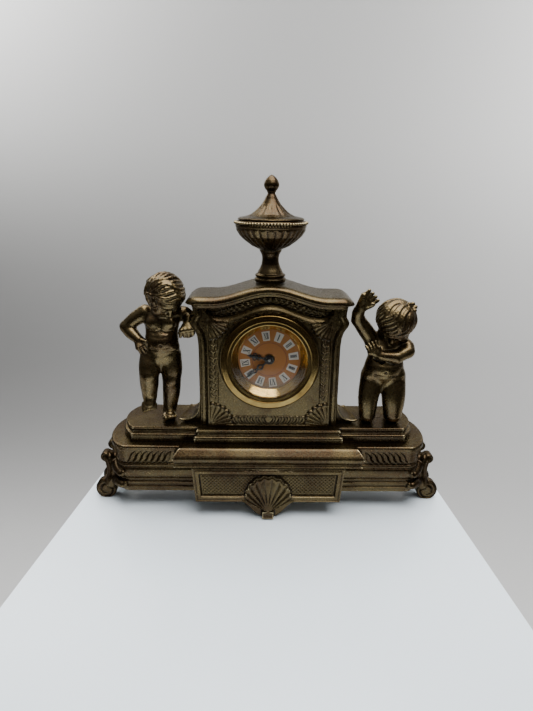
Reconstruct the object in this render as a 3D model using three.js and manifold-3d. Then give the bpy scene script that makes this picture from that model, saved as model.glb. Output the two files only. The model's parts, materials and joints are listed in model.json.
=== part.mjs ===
// A cast brass mantel clock: a ribbed base on scroll feet, a stepped deck, a case with an arched
// cornice and an urn, two child figures, and a spring-wound movement in a drum behind a glazed dial.
// Millimetres, +Z up. The dial faces -Y and the origin lies under the middle of the whole clock.

import * as THREE from "three";
import { mergeVertices } from "three/addons/utils/BufferGeometryUtils.js";
import Module from "manifold-3d";

const wasm = await Module();
wasm.setup();

// Fits
const SEAT = 0.3; // gap between two castings that seat on each other
const RUN = 0.25; // radial gap around a turning arbor
const THREAD = 0.3; // radial gap around a screw or rod

// Base shell
const BASE_FLAT_HALF = 116; // half length of the straight front
const BASE_HALF_DEPTH = 33;
const BASE_END = 17.5; // how far each rounded end bows out
const SKIRT_FOOT = 16; // height of the skirt's lower edge
const SKIRT_HEIGHT = 27;
const BAND_HEIGHT = 16;
const BASE_WALL = 5;
const LEDGE = 14; // width of the ledge that carries the deck

// Deck
const DECK_FLAT_HALF = 112.5; // half length of the lower step
const DECK_MARGIN = 11; // depth of the deck beyond that of the case
const DECK_BOW = 10.5; // bow of each end
const CASE_SET_BACK = 2; // how far the case's middle lies behind the deck's
const STEP_LOW = 6.6;
const STEP_HIGH = 5.4;
const STEP_INSET = 1.8; // upper step behind the lower one
const DECK_PLATE = 4.5; // thickness of the deck's top
const DECK_WALL = 7;
const BREAK_HALF = 60.5; // half width of the breakfront
const BREAK_OUT = 5.5; // how far it stands in front of the lower step

// Tablet and apron
const TABLET_HALF = 77;
const TABLET_OUT = 10.5; // in front of the base
const TABLET_HEIGHT = 15.5;
const TABLET_LAP = 1; // rise above the base's top
const APRON_HALF = 61.5;
const APRON_OUT = 10;
const APRON_TAPER = 2.6;
const APRON_EDGE = 14; // height of its lower edge
const APRON_RIM = 4.6;
const APRON_SINK = 1.6;
const TIP_HALF = 5.5;
const TIP_CLEAR = 1.2; // the shell's tip above the table
const SHELL_HALF = 17;
const SHELL_HEIGHT = 26;
const SHELL_OUT = 4.6;
const TIP_OUT = 4.4; // block under the shell, in front of the apron
const TIP_HEIGHT = 7;

// Feet
const FOOT_ROLL = 8.7; // radius of the lower scroll
const FOOT_PROUD = 15.5; // outermost point beyond the base's end
const FOOT_WIDTH = 11;
const FRONT_FOOT_SET = 9.4; // front feet from the base's middle line
const REAR_FOOT_SET = 14;
const EAR_ROLL = 4.4; // radius of the upper scroll
const FLAT_CUT = 0.6; // ground off the roll where it stands

// Case
const CASE_HALF = 56.5;
const CASE_FRONT = 17; // front of the case body from the base's middle line
const CASE_DEPTH = 41;
const CASE_WALL = 4;
const CASE_HEIGHT = 98.5; // deck to the cornice at its ends
const BRACKET_OUT = 6; // bracket beyond the case side
const BRACKET_DROP = 14; // straight part of the bracket under the cornice
const BRACKET_SWEEP = 15; // curved part below it
const COVER_THICK = 2;
const SCROLL_REACH = 18.5; // bottom scroll beyond the case side
const SCROLL_RISE = 22;
const SCROLL_ROLL = 5.5;
const SCROLL_DEPTH = 32;
const SCROLL_SET_BACK = 2; // its middle behind the base's

// Figures
const HEAD_HEIGHT = 34; // of each figure
const LEFT_FIGURE_GAP = 29.5; // standing figure's foot from the case side
const RIGHT_FIGURE_GAP = 40.5; // kneeling figure's middle from the case side
const KNEE_SCREW = 13; // kneeling figure's screw towards the case from its middle

// Cornice
const CORNICE_OVER = 3.5; // cornice beyond the brackets
const CORNICE_HALF_DEPTH = 26;
const CORNICE_HEIGHT = 9;
const ARCH_RISE = 9.5;
const ARCH_HALF = 46;

// Front plate
const PLATE_HALF = 49.5;
const PLATE_THICK = 3.7;
const PLATE_DROP = 7; // valleys of its top edge under the cornice
const PLATE_ARCH = 10.5;
const PLATE_ARCH_HALF = 40;
const PLATE_TIP_GAP = 0.7; // its top corners under the cornice
const PLATE_RIM = 3;
const PLATE_SINK = 0.9;

// Urn
const URN_FOOT_R = 12.4;
const URN_FOOT_HEIGHT = 12;
const URN_STEM_R = 6.3;
const URN_STEM_HEIGHT = 12.8;
const URN_BOWL_HEIGHT = 22;
const URN_RIM_R = 28.9;
const URN_LID_R = 25.6;
const URN_LID_HEIGHT = 20.2;
const URN_NECK_R = 3.8;
const URN_KNOB_R = 5.9;
const URN_KNOB_HEIGHT = 12.5;
const URN_ROD_R = 1.6;
const URN_NUT_R = 4;
const URN_NUT_HEIGHT = 3.4;
const NUT_POCKET = 5; // depth of the nut's pocket in the crown of the case

// Screws
const SCREW_R = 1.9;
const SCREW_HEAD_R = 3.8;
const SCREW_HEAD = 2.6;
const SCREW_BITE = 3.4; // length inside the held piece
const CASE_BOLT_INSET = 12.5; // case bolts from the case sides

// Movement insert
const DIAL_DROP = 42.3; // dial centre under the top of the case
const INSERT_TURN = 8.5; // how far the insert is turned in the case, in degrees
const DRUM_R = 32.5;
const DRUM_WALL = 1.4;
const BEZEL_R = 38.5;
const BEZEL_HEIGHT = 4.2;
const BEZEL_EYE = 30.2; // radius of the bezel's opening
const LENS_THICK = 1.2;
const DIAL_BACK = 6.2; // dial face behind the front plate
const DIAL_THICK = 0.8;
const DIAL_SHOW_R = 27.4; // visible radius
const CAP_FLANGE = 3.2;
const CAP_THICK = 1.6;
const CAP_SPIGOT = 4; // length inside the drum
const CAP_SPIGOT_WALL = 1.2;
const MINUTE_LENGTH = 24.3;
const HOUR_LENGTH = 18.2;
const HAND_THICK = 0.5;
const HAND_GAP = 0.9;

// Movement frame
const MOTION_SPACE = 7.6; // dial to the front movement plate
const MOVE_PLATE = 1.5;
const MOVE_SPAN = 16.8; // between the plates
const PILLAR_R = 2;
const PILLAR_PITCH = 26.2; // pillar circle
const PILLAR_ANGLES = [22, 142, 318];

// Gearing
const GEAR = 0.56; // module of the great wheel and motion work
const CENTRE_MODULE = 0.4;
const THIRD_MODULE = 0.32;
const FOURTH_MODULE = 0.3;
const GEAR_THICK = 1;
const ARBOR_R = 0.5;
const GREAT_TEETH = 40;
const CENTRE_PINION = 8;
const CENTRE_TEETH = 42;
const THIRD_PINION = 6;
const THIRD_TEETH = 42;
const FOURTH_PINION = 6;
const FOURTH_TEETH = 42;
const ESCAPE_PINION = 6;
const ESCAPE_TEETH = 15;
const ESCAPE_R = 4.6;
const CANNON_TEETH = 10;
const MINUTE_TEETH = 30;
const MINUTE_PINION = 8;
const HOUR_TEETH = 32;
const BARREL_ANGLE = -90;
const THIRD_ANGLE = 58;
const FOURTH_ANGLE = 150;
const ESCAPE_ANGLE = 205;
const PALLET_ANGLE = 238;
const BALANCE_ANGLE = 200;
const MINUTE_WHEEL_ANGLE = 30;

// Winding and regulating
const WIND_ARBOR_R = 1.5;
const CENTRE_ARBOR_R = 1.1;
const BARREL_LENGTH = 9.5;
const SPRING_THICK = 0.5;
const SPRING_TURNS = 4;
const RATCHET_R = 5.4;
const RATCHET_TEETH = 18;
const CLICK_CLEAR = 0.4;
const KEY_WING = 7;
const KEY_OUT = 10.5; // key behind the cap
const KNOB_R = 4.4;
const KNOB_OUT = 5;
const BALANCE_R = 7;
const BALANCE_RIM = 1.1;
const PALLET_REACH = 6.4; // pallet arbor from the escape arbor
const PALLET_CLEAR = 1.5; // pallets off the escape wheel
const FORK_REACH = 8.4; // balance staff from the pallet arbor
const REGULATOR_REACH = 8;
const REGULATOR_SWING = 22; // each way, in degrees

// Derived reaches
const BRACKET_HALF = CASE_HALF + BRACKET_OUT;
const CORNICE_HALF = BRACKET_HALF + CORNICE_OVER;
const CASE_BOLT_X = CASE_HALF - CASE_BOLT_INSET;
const FIGURE_UNIT = HEAD_HEIGHT / 34; // the figures are drawn with 34 units to a head
const FOOT_REACH = BASE_FLAT_HALF + BASE_END + FOOT_PROUD;
const LEFT_FIGURE_X = -(CASE_HALF + LEFT_FIGURE_GAP);
const RIGHT_FIGURE_X = CASE_HALF + RIGHT_FIGURE_GAP;
const DECK_HALF_DEPTH = (CASE_DEPTH + DECK_MARGIN) / 2;
const DECK_SET_BACK = CASE_DEPTH / 2 - CASE_FRONT - CASE_SET_BACK; // behind the base's middle line

// Derived heights and depths
const SKIRT_TOP = SKIRT_FOOT + SKIRT_HEIGHT;
const BASE_TOP = SKIRT_TOP + BAND_HEIGHT;
const DECK_LOW = BASE_TOP + SEAT;
const DECK_MID = DECK_LOW + STEP_LOW;
const DECK_TOP = DECK_MID + STEP_HIGH;
const CASE_LOW = DECK_TOP + SEAT;
const CASE_TOP = CASE_LOW + CASE_HEIGHT;
const CORNICE_LOW = CASE_TOP + SEAT;
const CORNICE_TOP = CORNICE_LOW + CORNICE_HEIGHT + ARCH_RISE;
const CASE_BACK = CASE_DEPTH - CASE_FRONT;
const COVER_BACK = CASE_BACK + SEAT + COVER_THICK;
const PLATE_BACK = -CASE_FRONT - SEAT;
const PLATE_FACE = PLATE_BACK - PLATE_THICK;
const DIAL_Z = CASE_TOP - DIAL_DROP;
const CAVITY_TOP = CASE_TOP - CASE_WALL;
const URN_LOW = CORNICE_TOP + SEAT;
const DRUM_LENGTH = COVER_BACK - PLATE_FACE;
const CAP_LOW = -DRUM_LENGTH - SEAT - CAP_THICK;

const ROUND = 24;
const SMALL_ROUND = 10;

const v2 = (x, y) => new THREE.Vector2(x, y);
const v3 = (x, y, z) => new THREE.Vector3(x, y, z);
const rad = THREE.MathUtils.degToRad;

// Solid geometry with nothing but merged points.
function bare(geometry) {
  const copy = geometry.clone();
  for (const name of Object.keys(copy.attributes)) {
    if (name !== "position") copy.deleteAttribute(name);
  }
  const merged = mergeVertices(copy, 1e-4);
  const kept = [];
  const index = merged.index.array;
  for (let i = 0; i < index.length; i += 3) {
    const [a, b, c] = [index[i], index[i + 1], index[i + 2]];
    if (a !== b && b !== c && c !== a) kept.push(a, b, c);
  }
  merged.setIndex(kept);
  return merged;
}

function solidOf(geometry) {
  const clean = bare(geometry);
  const mesh = new wasm.Mesh({
    numProp: 3,
    vertProperties: new Float32Array(clean.attributes.position.array),
    triVerts: new Uint32Array(clean.index.array),
  });
  return new wasm.Manifold(mesh);
}

function geometryOf(solid) {
  const mesh = solid.getMesh();
  const geometry = new THREE.BufferGeometry();
  geometry.setAttribute("position", new THREE.BufferAttribute(new Float32Array(mesh.vertProperties), 3));
  geometry.setIndex(new THREE.BufferAttribute(new Uint32Array(mesh.triVerts), 1));
  return geometry;
}

const join = (first, ...rest) =>
  geometryOf(rest.reduce((kept, other) => kept.add(solidOf(other)), solidOf(first)));
const cut = (first, ...tools) =>
  geometryOf(tools.reduce((kept, tool) => kept.subtract(solidOf(tool)), solidOf(first)));

// Round solid about Z from [radius, height] points that run up the outside.
function turned(profile, segments = ROUND) {
  const points = profile.map(([r, z]) => v2(r, z));
  return new THREE.LatheGeometry(points, segments).rotateX(Math.PI / 2);
}

function rod(r, low, high, segments = SMALL_ROUND) {
  return turned([[0, low], [r, low], [r, high], [0, high]], segments);
}

function pipe(inner, outer, low, high, segments = ROUND) {
  return turned([[inner, low], [outer, low], [outer, high], [inner, high], [inner, low]], segments);
}

function box(x0, x1, y0, y1, z0, z1) {
  const geometry = new THREE.BoxGeometry(x1 - x0, y1 - y0, z1 - z0);
  return geometry.translate((x0 + x1) / 2, (y0 + y1) / 2, (z0 + z1) / 2);
}

function slab(shape, low, high, curveSegments = 8) {
  const options = { depth: high - low, bevelEnabled: false, curveSegments };
  return new THREE.ExtrudeGeometry(shape, options).translate(0, 0, low);
}

// A shape drawn in X and Z, standing from the front plane to the back plane.
const upright = (shape, front, back, curveSegments = 8) =>
  slab(shape, 0, back - front, curveSegments).rotateX(Math.PI / 2).translate(0, back, 0);

// Level rings joined from the bottom up. Each ring is half an outline, from left to right along the
// front, mirrored to the back. lift(x) raises every ring along the same curve.
function stack(levels, outline, lift = () => 0) {
  const half = outline(0);
  const onLine = half.map((p) => Math.abs(p.y) < 1e-6);
  const count = half.length;
  const paired = half.map((p, i) => i).filter((i) => !onLine[i]);
  const partner = half.map((p, i) => (onLine[i] ? i : count + paired.length - 1 - paired.indexOf(i)));
  const size = count + paired.length;
  const points = [];
  const faces = [];
  for (const [z, inset] of levels) {
    const front = outline(inset);
    const back = paired.map((i) => v2(front[i].x, -front[i].y)).reverse();
    for (const p of [...front, ...back]) points.push(p.x, p.y, z + lift(p.x));
  }
  for (let k = 0; k + 1 < levels.length; k++) {
    for (let i = 0; i < size; i++) {
      const a = k * size + i;
      const b = k * size + ((i + 1) % size);
      faces.push(a, b, b + size, a, b + size, a + size);
    }
  }
  const top = (levels.length - 1) * size;
  for (let i = 0; i + 1 < count; i++) {
    const quad = [i, i + 1, partner[i + 1], partner[i]];
    for (const [a, b, c] of [[quad[0], quad[1], quad[2]], [quad[0], quad[2], quad[3]]]) {
      if (a === b || b === c || c === a) continue;
      faces.push(c, b, a, top + a, top + b, top + c);
    }
  }
  const geometry = new THREE.BufferGeometry();
  geometry.setAttribute("position", new THREE.Float32BufferAttribute(points, 3));
  geometry.setIndex(faces);
  return geometry;
}

const mirrorEnds = (left) => [...left, ...left.map((p) => v2(-p.x, p.y)).reverse()];

// Straight front with half-ellipse ends.
const ovalEnds = (flatHalf, halfDepth, bow, steps = 6) => (inset) => {
  const left = [];
  for (let i = 0; i <= steps; i++) {
    const a = (Math.PI / 2) * (i / steps);
    left.push(v2(-flatHalf - (bow - inset) * Math.cos(a), -(halfDepth - inset) * Math.sin(a)));
  }
  left[0].y = 0;
  return mirrorEnds(left);
};

// Straight front with shallow bowed ends that meet it at a corner.
const bowedEnds = (flatHalf, halfDepth, bow, steps = 4) => (inset) => {
  const radius = (halfDepth ** 2 + bow ** 2) / (2 * bow) - inset;
  const centre = flatHalf + bow - radius - inset;
  const sweep = Math.asin((halfDepth - inset) / radius);
  const left = [];
  for (let i = 0; i <= steps; i++) {
    const a = sweep * (i / steps);
    left.push(v2(-centre - radius * Math.cos(a), -radius * Math.sin(a)));
  }
  left[0].y = 0;
  return mirrorEnds(left);
};

const straightEnds = (halfWidth, halfDepth, steps = 1) => (inset) => {
  const points = [];
  for (let i = 0; i <= steps; i++) {
    points.push(v2((halfWidth - inset) * ((2 * i) / steps - 1), -(halfDepth - inset)));
  }
  return points;
};

// Rise of the cornice above its ends.
function archAt(x) {
  if (Math.abs(x) >= ARCH_HALF) return 0;
  return (ARCH_RISE / 2) * (1 + Math.cos((Math.PI * x) / ARCH_HALF));
}

// Top edge of the front plate: an arch, a valley on each side and a raised corner.
function plateTop(x) {
  const a = Math.abs(x);
  const valley = CASE_TOP - PLATE_DROP;
  if (a < PLATE_ARCH_HALF) {
    return valley + (PLATE_ARCH / 2) * (1 + Math.cos((Math.PI * a) / PLATE_ARCH_HALF));
  }
  const run = (a - PLATE_ARCH_HALF) / (PLATE_HALF - PLATE_ARCH_HALF);
  return valley + (PLATE_DROP - PLATE_TIP_GAP) * (1 - Math.cos((Math.PI / 2) * run));
}

const group = new THREE.Group();
group.name = "mantel_clock";

const MATERIALS = {
  casting: { color: 0x7d5f2c, roughness: 0.45, metalness: 0.9 },
  brass: { color: 0xb08d3f, roughness: 0.3, metalness: 0.95 },
  plate: { color: 0xc0a055, roughness: 0.35, metalness: 0.9 },
  steel: { color: 0x8b8d90, roughness: 0.35, metalness: 0.9 },
  blued: { color: 0x1c2433, roughness: 0.35, metalness: 0.8 },
  dial: { color: 0xb5703c, roughness: 0.6, metalness: 0.1 },
  hand: { color: 0x121212, roughness: 0.5, metalness: 0.2 },
  lens: { color: 0xdfe8ea, roughness: 0.05, metalness: 0 },
};

// Every piece is a mesh of its own, under the group that carries it.
function piece(parent, name, material, geometry) {
  const look = new THREE.MeshStandardMaterial(MATERIALS[material]);
  const mesh = new THREE.Mesh(geometryOf(solidOf(geometry)), look);
  mesh.name = name;
  parent.add(mesh);
  return mesh;
}

// Base shell: a ribbed skirt under a swelling band, open below, with a ledge for the deck on top.
const baseOutline = ovalEnds(BASE_FLAT_HALF, BASE_HALF_DEPTH, BASE_END);
const skirt = (share) => SKIRT_FOOT + SKIRT_HEIGHT * share;
const band = (share) => SKIRT_TOP + BAND_HEIGHT * share;
const BASE_LEVELS = [
  [skirt(0), 3.4], [skirt(0.16), 3.4], [skirt(0.2), 4.6], [skirt(0.38), 4.6], [skirt(0.44), 2.8],
  [skirt(0.84), 2.8], [skirt(0.9), 3.8], [band(0), 3.8], [band(0.1), 2.4], [band(0.72), 0],
  [band(0.9), 0.2], [band(1), 1.4],
];

function baseBlock(grow) {
  const levels = BASE_LEVELS.map(([z, inset]) => [z, inset - grow]);
  levels[0][0] -= grow;
  levels[levels.length - 1][0] += grow;
  return stack(levels, baseOutline);
}

const baseHollow = stack(
  [[SKIRT_FOOT - 1, BASE_WALL + 3], [BASE_TOP - BASE_WALL, BASE_WALL + 3]],
  baseOutline,
);
const deckWell = stack([[SKIRT_FOOT - 1, LEDGE], [BASE_TOP + 1, LEDGE]], baseOutline);
piece(group, "base_shell", "casting", cut(baseBlock(0), baseHollow, deckWell));

// Deck: two shallow steps with bowed ends and a breakfront, hollow underneath.
const deckOutline = bowedEnds(DECK_FLAT_HALF, DECK_HALF_DEPTH, DECK_BOW);

function deckBlock(grow) {
  const levels = [
    [DECK_LOW - grow, -grow], [DECK_MID - 1.2, -grow], [DECK_MID, 0.7 - grow],
    [DECK_MID, STEP_INSET - grow], [DECK_TOP - 1.2, STEP_INSET - grow],
    [DECK_TOP + grow, STEP_INSET + 0.7 - grow],
  ];
  const body = stack(levels, deckOutline).translate(0, DECK_SET_BACK, 0);
  const depth = (BREAK_OUT + DECK_HALF_DEPTH) / 2;
  const front = stack(levels, straightEnds(BREAK_HALF, depth));
  return join(body, front.translate(0, DECK_SET_BACK - BREAK_OUT - DECK_HALF_DEPTH + depth, 0));
}

const deckHollow = stack(
  [[DECK_LOW - 1, DECK_WALL], [DECK_TOP - DECK_PLATE, DECK_WALL]],
  deckOutline,
).translate(0, DECK_SET_BACK, 0);

// Screw stations: a head under the deck's top and a shank up into the piece that it holds.
const STATIONS = {
  case_bolt_left: v2(-CASE_BOLT_X, 2),
  case_bolt_right: v2(CASE_BOLT_X, 2),
  putto_left_screw: v2(LEFT_FIGURE_X, -3 * FIGURE_UNIT),
  putto_right_screw: v2(RIGHT_FIGURE_X - KNEE_SCREW, -9 * FIGURE_UNIT),
};
const HEAD_TOP = DECK_TOP - DECK_PLATE - SEAT;
const screwHole = (at) =>
  rod(SCREW_R + THREAD, HEAD_TOP - 1, CASE_LOW + SCREW_BITE + SEAT).translate(at.x, at.y, 0);
const deckScrewHoles = Object.values(STATIONS).map(screwHole);
piece(group, "base_deck", "casting", cut(deckBlock(0), deckHollow, ...deckScrewHoles));

for (const [name, at] of Object.entries(STATIONS)) {
  const profile = [
    [0, HEAD_TOP - SCREW_HEAD], [SCREW_HEAD_R, HEAD_TOP - SCREW_HEAD], [SCREW_HEAD_R, HEAD_TOP],
    [SCREW_R, HEAD_TOP], [SCREW_R, CASE_LOW + SCREW_BITE], [0, CASE_LOW + SCREW_BITE],
  ];
  piece(group, name, "steel", turned(profile, SMALL_ROUND).translate(at.x, at.y, 0));
}

// Tablet: a swelling moulding returned at both ends, lapping over the base's top edge.
const tabletTop = BASE_TOP + TABLET_LAP;
const tablet = (share) => tabletTop - TABLET_HEIGHT * (1 - share);
const TABLET_LEVELS = [
  [tablet(0), 1.4], [tablet(0.1), 1.4], [tablet(0.12), 2.4], [tablet(0.3), 0.7], [tablet(0.5), 0],
  [tablet(0.72), 1.2], [tablet(0.9), 3.4], [tablet(1), 5.2],
];
const tabletDepth = TABLET_OUT + 5;
const tabletBlock = stack(TABLET_LEVELS, straightEnds(TABLET_HALF, tabletDepth))
  .translate(0, -BASE_HALF_DEPTH - TABLET_OUT + tabletDepth, 0);
piece(group, "front_tablet", "casting", cut(
  tabletBlock,
  baseBlock(SEAT),
  deckBlock(SEAT),
  box(-2 * TABLET_HALF, 2 * TABLET_HALF, -BASE_HALF_DEPTH + 4, 2 * BASE_HALF_DEPTH, 0, 2 * BASE_TOP),
));

// Apron: a framed panel under the tablet that dips to a fan shell.
const apronTop = tablet(0) - SEAT;
const apronFront = -BASE_HALF_DEPTH - APRON_OUT;

function apronShape(inset) {
  const shape = new THREE.Shape();
  const low = APRON_EDGE + inset;
  const foot = APRON_HALF - APRON_TAPER - inset;
  shape.moveTo(-APRON_HALF + inset, apronTop - inset);
  shape.lineTo(-foot, low);
  if (inset > 0) {
    shape.lineTo(foot, low);
  } else {
    const dip = SHELL_HALF + 6;
    shape.lineTo(-dip, low);
    shape.bezierCurveTo(-dip / 2, low, -TIP_HALF - 5, TIP_CLEAR + 2, -TIP_HALF, TIP_CLEAR);
    shape.lineTo(TIP_HALF, TIP_CLEAR);
    shape.bezierCurveTo(TIP_HALF + 5, TIP_CLEAR + 2, dip / 2, low, dip, low);
    shape.lineTo(foot, low);
  }
  shape.lineTo(APRON_HALF - inset, apronTop - inset);
  shape.closePath();
  return shape;
}

const shellDome = new THREE.SphereGeometry(1, 18, 8)
  .scale(SHELL_HALF, SHELL_OUT, SHELL_HEIGHT / 2)
  .translate(0, apronFront + 0.6, apronTop - APRON_RIM - SHELL_HEIGHT / 2);
const tipBlock = box(
  -TIP_HALF, TIP_HALF, apronFront - TIP_OUT, apronFront + 1, TIP_CLEAR, TIP_CLEAR + TIP_HEIGHT,
);
const apronPanel = join(
  cut(
    upright(apronShape(0), apronFront, -BASE_HALF_DEPTH + 6, 5),
    upright(apronShape(APRON_RIM), apronFront - 1, apronFront + APRON_SINK, 5),
  ),
  shellDome,
  tipBlock,
);
piece(group, "apron_panel", "casting", cut(apronPanel, baseBlock(SEAT)));

// Scroll feet: a roll on the table, a stem against the skirt and a smaller roll on top.
function footGeometry(set) {
  const rollX = FOOT_REACH - FOOT_ROLL;
  const rollZ = FOOT_ROLL - FLAT_CUT;
  const earZ = SKIRT_TOP - EAR_ROLL;
  const earX = FOOT_REACH - 2.4 * EAR_ROLL;
  const inner = BASE_FLAT_HALF + 2;
  const stem = new THREE.Shape();
  stem.moveTo(inner, SKIRT_FOOT - SEAT);
  stem.lineTo(inner, SKIRT_FOOT - 6);
  stem.quadraticCurveTo(inner + 4, 2, rollX, 0.4);
  stem.lineTo(rollX + FOOT_ROLL * 0.7, rollZ + FOOT_ROLL * 0.5);
  stem.quadraticCurveTo(rollX - 4, rollZ + FOOT_ROLL, earX - 1.5, earZ - EAR_ROLL * 0.6);
  stem.lineTo(earX, earZ + EAR_ROLL * 0.9);
  stem.lineTo(inner, earZ + EAR_ROLL * 0.5);
  stem.closePath();
  const half = FOOT_WIDTH / 2;
  const roll = rod(FOOT_ROLL, -half, half, 16).rotateX(Math.PI / 2).translate(rollX, 0, rollZ);
  const ear = rod(EAR_ROLL, -half, half, 10).rotateX(Math.PI / 2).translate(earX, 0, earZ);
  const ground = box(0, 2 * FOOT_REACH, -FOOT_WIDTH, FOOT_WIDTH, -FOOT_ROLL, 0);
  const whole = join(upright(stem, -half + 0.8, half - 0.8, 3), roll, ear);
  return cut(cut(whole, ground).translate(0, -set, 0), baseBlock(SEAT));
}

const flip = (geometry, axis) => {
  const scale = v3(axis === "x" ? -1 : 1, axis === "y" ? -1 : 1, 1);
  const copy = bare(geometry).scale(scale.x, scale.y, scale.z);
  const index = copy.index.array;
  for (let i = 0; i < index.length; i += 3) [index[i], index[i + 1]] = [index[i + 1], index[i]];
  return copy;
};
const footFrontRight = footGeometry(FRONT_FOOT_SET);
const footRearRight = flip(footGeometry(REAR_FOOT_SET), "y");
piece(group, "foot_front_right", "casting", footFrontRight);
piece(group, "foot_rear_right", "casting", footRearRight);
piece(group, "foot_front_left", "casting", flip(footFrontRight, "x"));
piece(group, "foot_rear_left", "casting", flip(footRearRight, "x"));

// Case body: straight sides that sweep out to brackets under the cornice, arched on top.
function caseShape() {
  const shape = new THREE.Shape();
  const sweepTop = CASE_TOP - BRACKET_DROP;
  const sweepLow = sweepTop - BRACKET_SWEEP;
  shape.moveTo(-CASE_HALF, CASE_LOW);
  shape.lineTo(CASE_HALF, CASE_LOW);
  shape.lineTo(CASE_HALF, sweepLow);
  shape.quadraticCurveTo(CASE_HALF + 0.5, sweepTop - 3, BRACKET_HALF, sweepTop);
  shape.lineTo(BRACKET_HALF, CASE_TOP);
  for (let i = 0; i <= 16; i++) {
    const x = ARCH_HALF * (1 - i / 8);
    shape.lineTo(x, CASE_TOP + archAt(x));
  }
  shape.lineTo(-BRACKET_HALF, CASE_TOP);
  shape.lineTo(-BRACKET_HALF, sweepTop);
  shape.quadraticCurveTo(-CASE_HALF - 0.5, sweepTop - 3, -CASE_HALF, sweepLow);
  shape.closePath();
  return shape;
}

const drumBore = rod(DRUM_R + SEAT, -100, 100, ROUND).rotateX(Math.PI / 2).translate(0, 0, DIAL_Z);
const caseCavity = box(
  -CASE_HALF + CASE_WALL, CASE_HALF - CASE_WALL,
  -CASE_FRONT + CASE_WALL, CASE_BACK + 1,
  CASE_LOW + CASE_WALL + 1, CAVITY_TOP,
);
const nutSeat = CAVITY_TOP + NUT_POCKET;
const nutPocket = rod(URN_NUT_R + 1.5, CAVITY_TOP - 1, nutSeat, 12);
const rodHole = rod(URN_ROD_R + THREAD, DECK_TOP + CASE_HEIGHT / 2, CORNICE_TOP + 1);
piece(group, "case_body", "casting", cut(
  upright(caseShape(), -CASE_FRONT, CASE_BACK, 5),
  caseCavity,
  drumBore,
  nutPocket,
  rodHole,
  screwHole(STATIONS.case_bolt_left),
  screwHole(STATIONS.case_bolt_right),
));

// Rear cover: a sheet on the rear edges of the case, clamped there by the flange of the drum's cap.
const coverSheet = box(
  -CASE_HALF + 1, CASE_HALF - 1, CASE_BACK + SEAT, COVER_BACK, CASE_LOW + 1, CASE_TOP - 1,
);
piece(group, "rear_cover", "brass", cut(coverSheet, drumBore));

// Front plate with a raised rim around a sunk field.
function plateShape(inset) {
  const shape = new THREE.Shape();
  const half = PLATE_HALF - inset;
  shape.moveTo(-half, CASE_LOW + inset);
  shape.lineTo(half, CASE_LOW + inset);
  const steps = 24;
  for (let i = 0; i <= steps; i++) {
    const x = half * (1 - (2 * i) / steps);
    shape.lineTo(x, plateTop(x) - inset);
  }
  shape.closePath();
  return shape;
}

piece(group, "front_plate", "casting", cut(
  upright(plateShape(0), PLATE_FACE, PLATE_BACK),
  upright(plateShape(PLATE_RIM), PLATE_FACE - 1, PLATE_FACE + PLATE_SINK),
  drumBore,
));

// Bottom scrolls: a sweep from the case side down to a roll on the deck.
function scrollGeometry() {
  const inner = CASE_HALF + SEAT;
  const tip = CASE_HALF + SCROLL_REACH;
  const low = CASE_LOW;
  const shape = new THREE.Shape();
  shape.moveTo(inner, low);
  shape.lineTo(tip - SCROLL_ROLL, low);
  shape.absarc(tip - SCROLL_ROLL, low + SCROLL_ROLL, SCROLL_ROLL, -Math.PI / 2, Math.PI * 0.6, false);
  const neck = SCROLL_REACH * 0.08;
  shape.quadraticCurveTo(inner + 2.4 * neck, low + SCROLL_ROLL * 2, inner + neck, low + SCROLL_RISE);
  shape.lineTo(inner, low + SCROLL_RISE);
  shape.closePath();
  return upright(shape, SCROLL_SET_BACK - SCROLL_DEPTH / 2, SCROLL_SET_BACK + SCROLL_DEPTH / 2, 6);
}

const scrollRight = scrollGeometry();
piece(group, "case_scroll_right", "casting", scrollRight);
piece(group, "case_scroll_left", "casting", flip(scrollRight, "x"));

// Cornice: a moulded slab that follows the arch.
const corniceLow = CORNICE_LOW;
const corniceLevels = [
  [corniceLow, 4], [corniceLow + CORNICE_HEIGHT * 0.25, 3.4], [corniceLow + CORNICE_HEIGHT * 0.5, 1.8],
  [corniceLow + CORNICE_HEIGHT * 0.6, 0.2], [corniceLow + CORNICE_HEIGHT * 0.85, 0],
  [corniceLow + CORNICE_HEIGHT, 1.2],
];
const corniceBlock = stack(corniceLevels, straightEnds(CORNICE_HALF, CORNICE_HALF_DEPTH, 18), archAt)
  .translate(0, 1, 0);
const urnSeat = rod(URN_FOOT_R + SEAT, CORNICE_TOP - 0.6, CORNICE_TOP + 8, ROUND);
piece(group, "cornice", "casting", cut(corniceBlock, rodHole, urnSeat));

// Urn: four turned castings on one rod.
const urnBore = URN_ROD_R + THREAD;
const urnFootLow = URN_LOW - 0.6;
const urnStemLow = urnFootLow + URN_FOOT_HEIGHT;
const urnBowlLow = urnStemLow + URN_STEM_HEIGHT;
const urnRim = urnBowlLow + SEAT + URN_BOWL_HEIGHT;
const urnLidLow = urnRim + SEAT;
const urnNeck = urnLidLow + URN_LID_HEIGHT;
const urnTop = urnNeck + SEAT + URN_KNOB_HEIGHT;
const bored = (profile) => {
  const inside = [urnBore, profile[0][1]];
  return turned([inside, ...profile, [urnBore, profile.at(-1)[1]], inside]);
};

const footPoint = (share, height) => [URN_FOOT_R * share, urnFootLow + URN_FOOT_HEIGHT * height];
const stemPoint = (share, height) => [URN_STEM_R * share, urnStemLow + URN_STEM_HEIGHT * height];
piece(group, "urn_foot", "casting", bored([
  footPoint(1, 0), footPoint(1, 0.3), footPoint(0.86, 0.45), footPoint(0.8, 0.75),
  stemPoint(1.22, 0), stemPoint(1.05, 0.2), stemPoint(1, 0.55), stemPoint(1.35, 1),
]));

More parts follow.
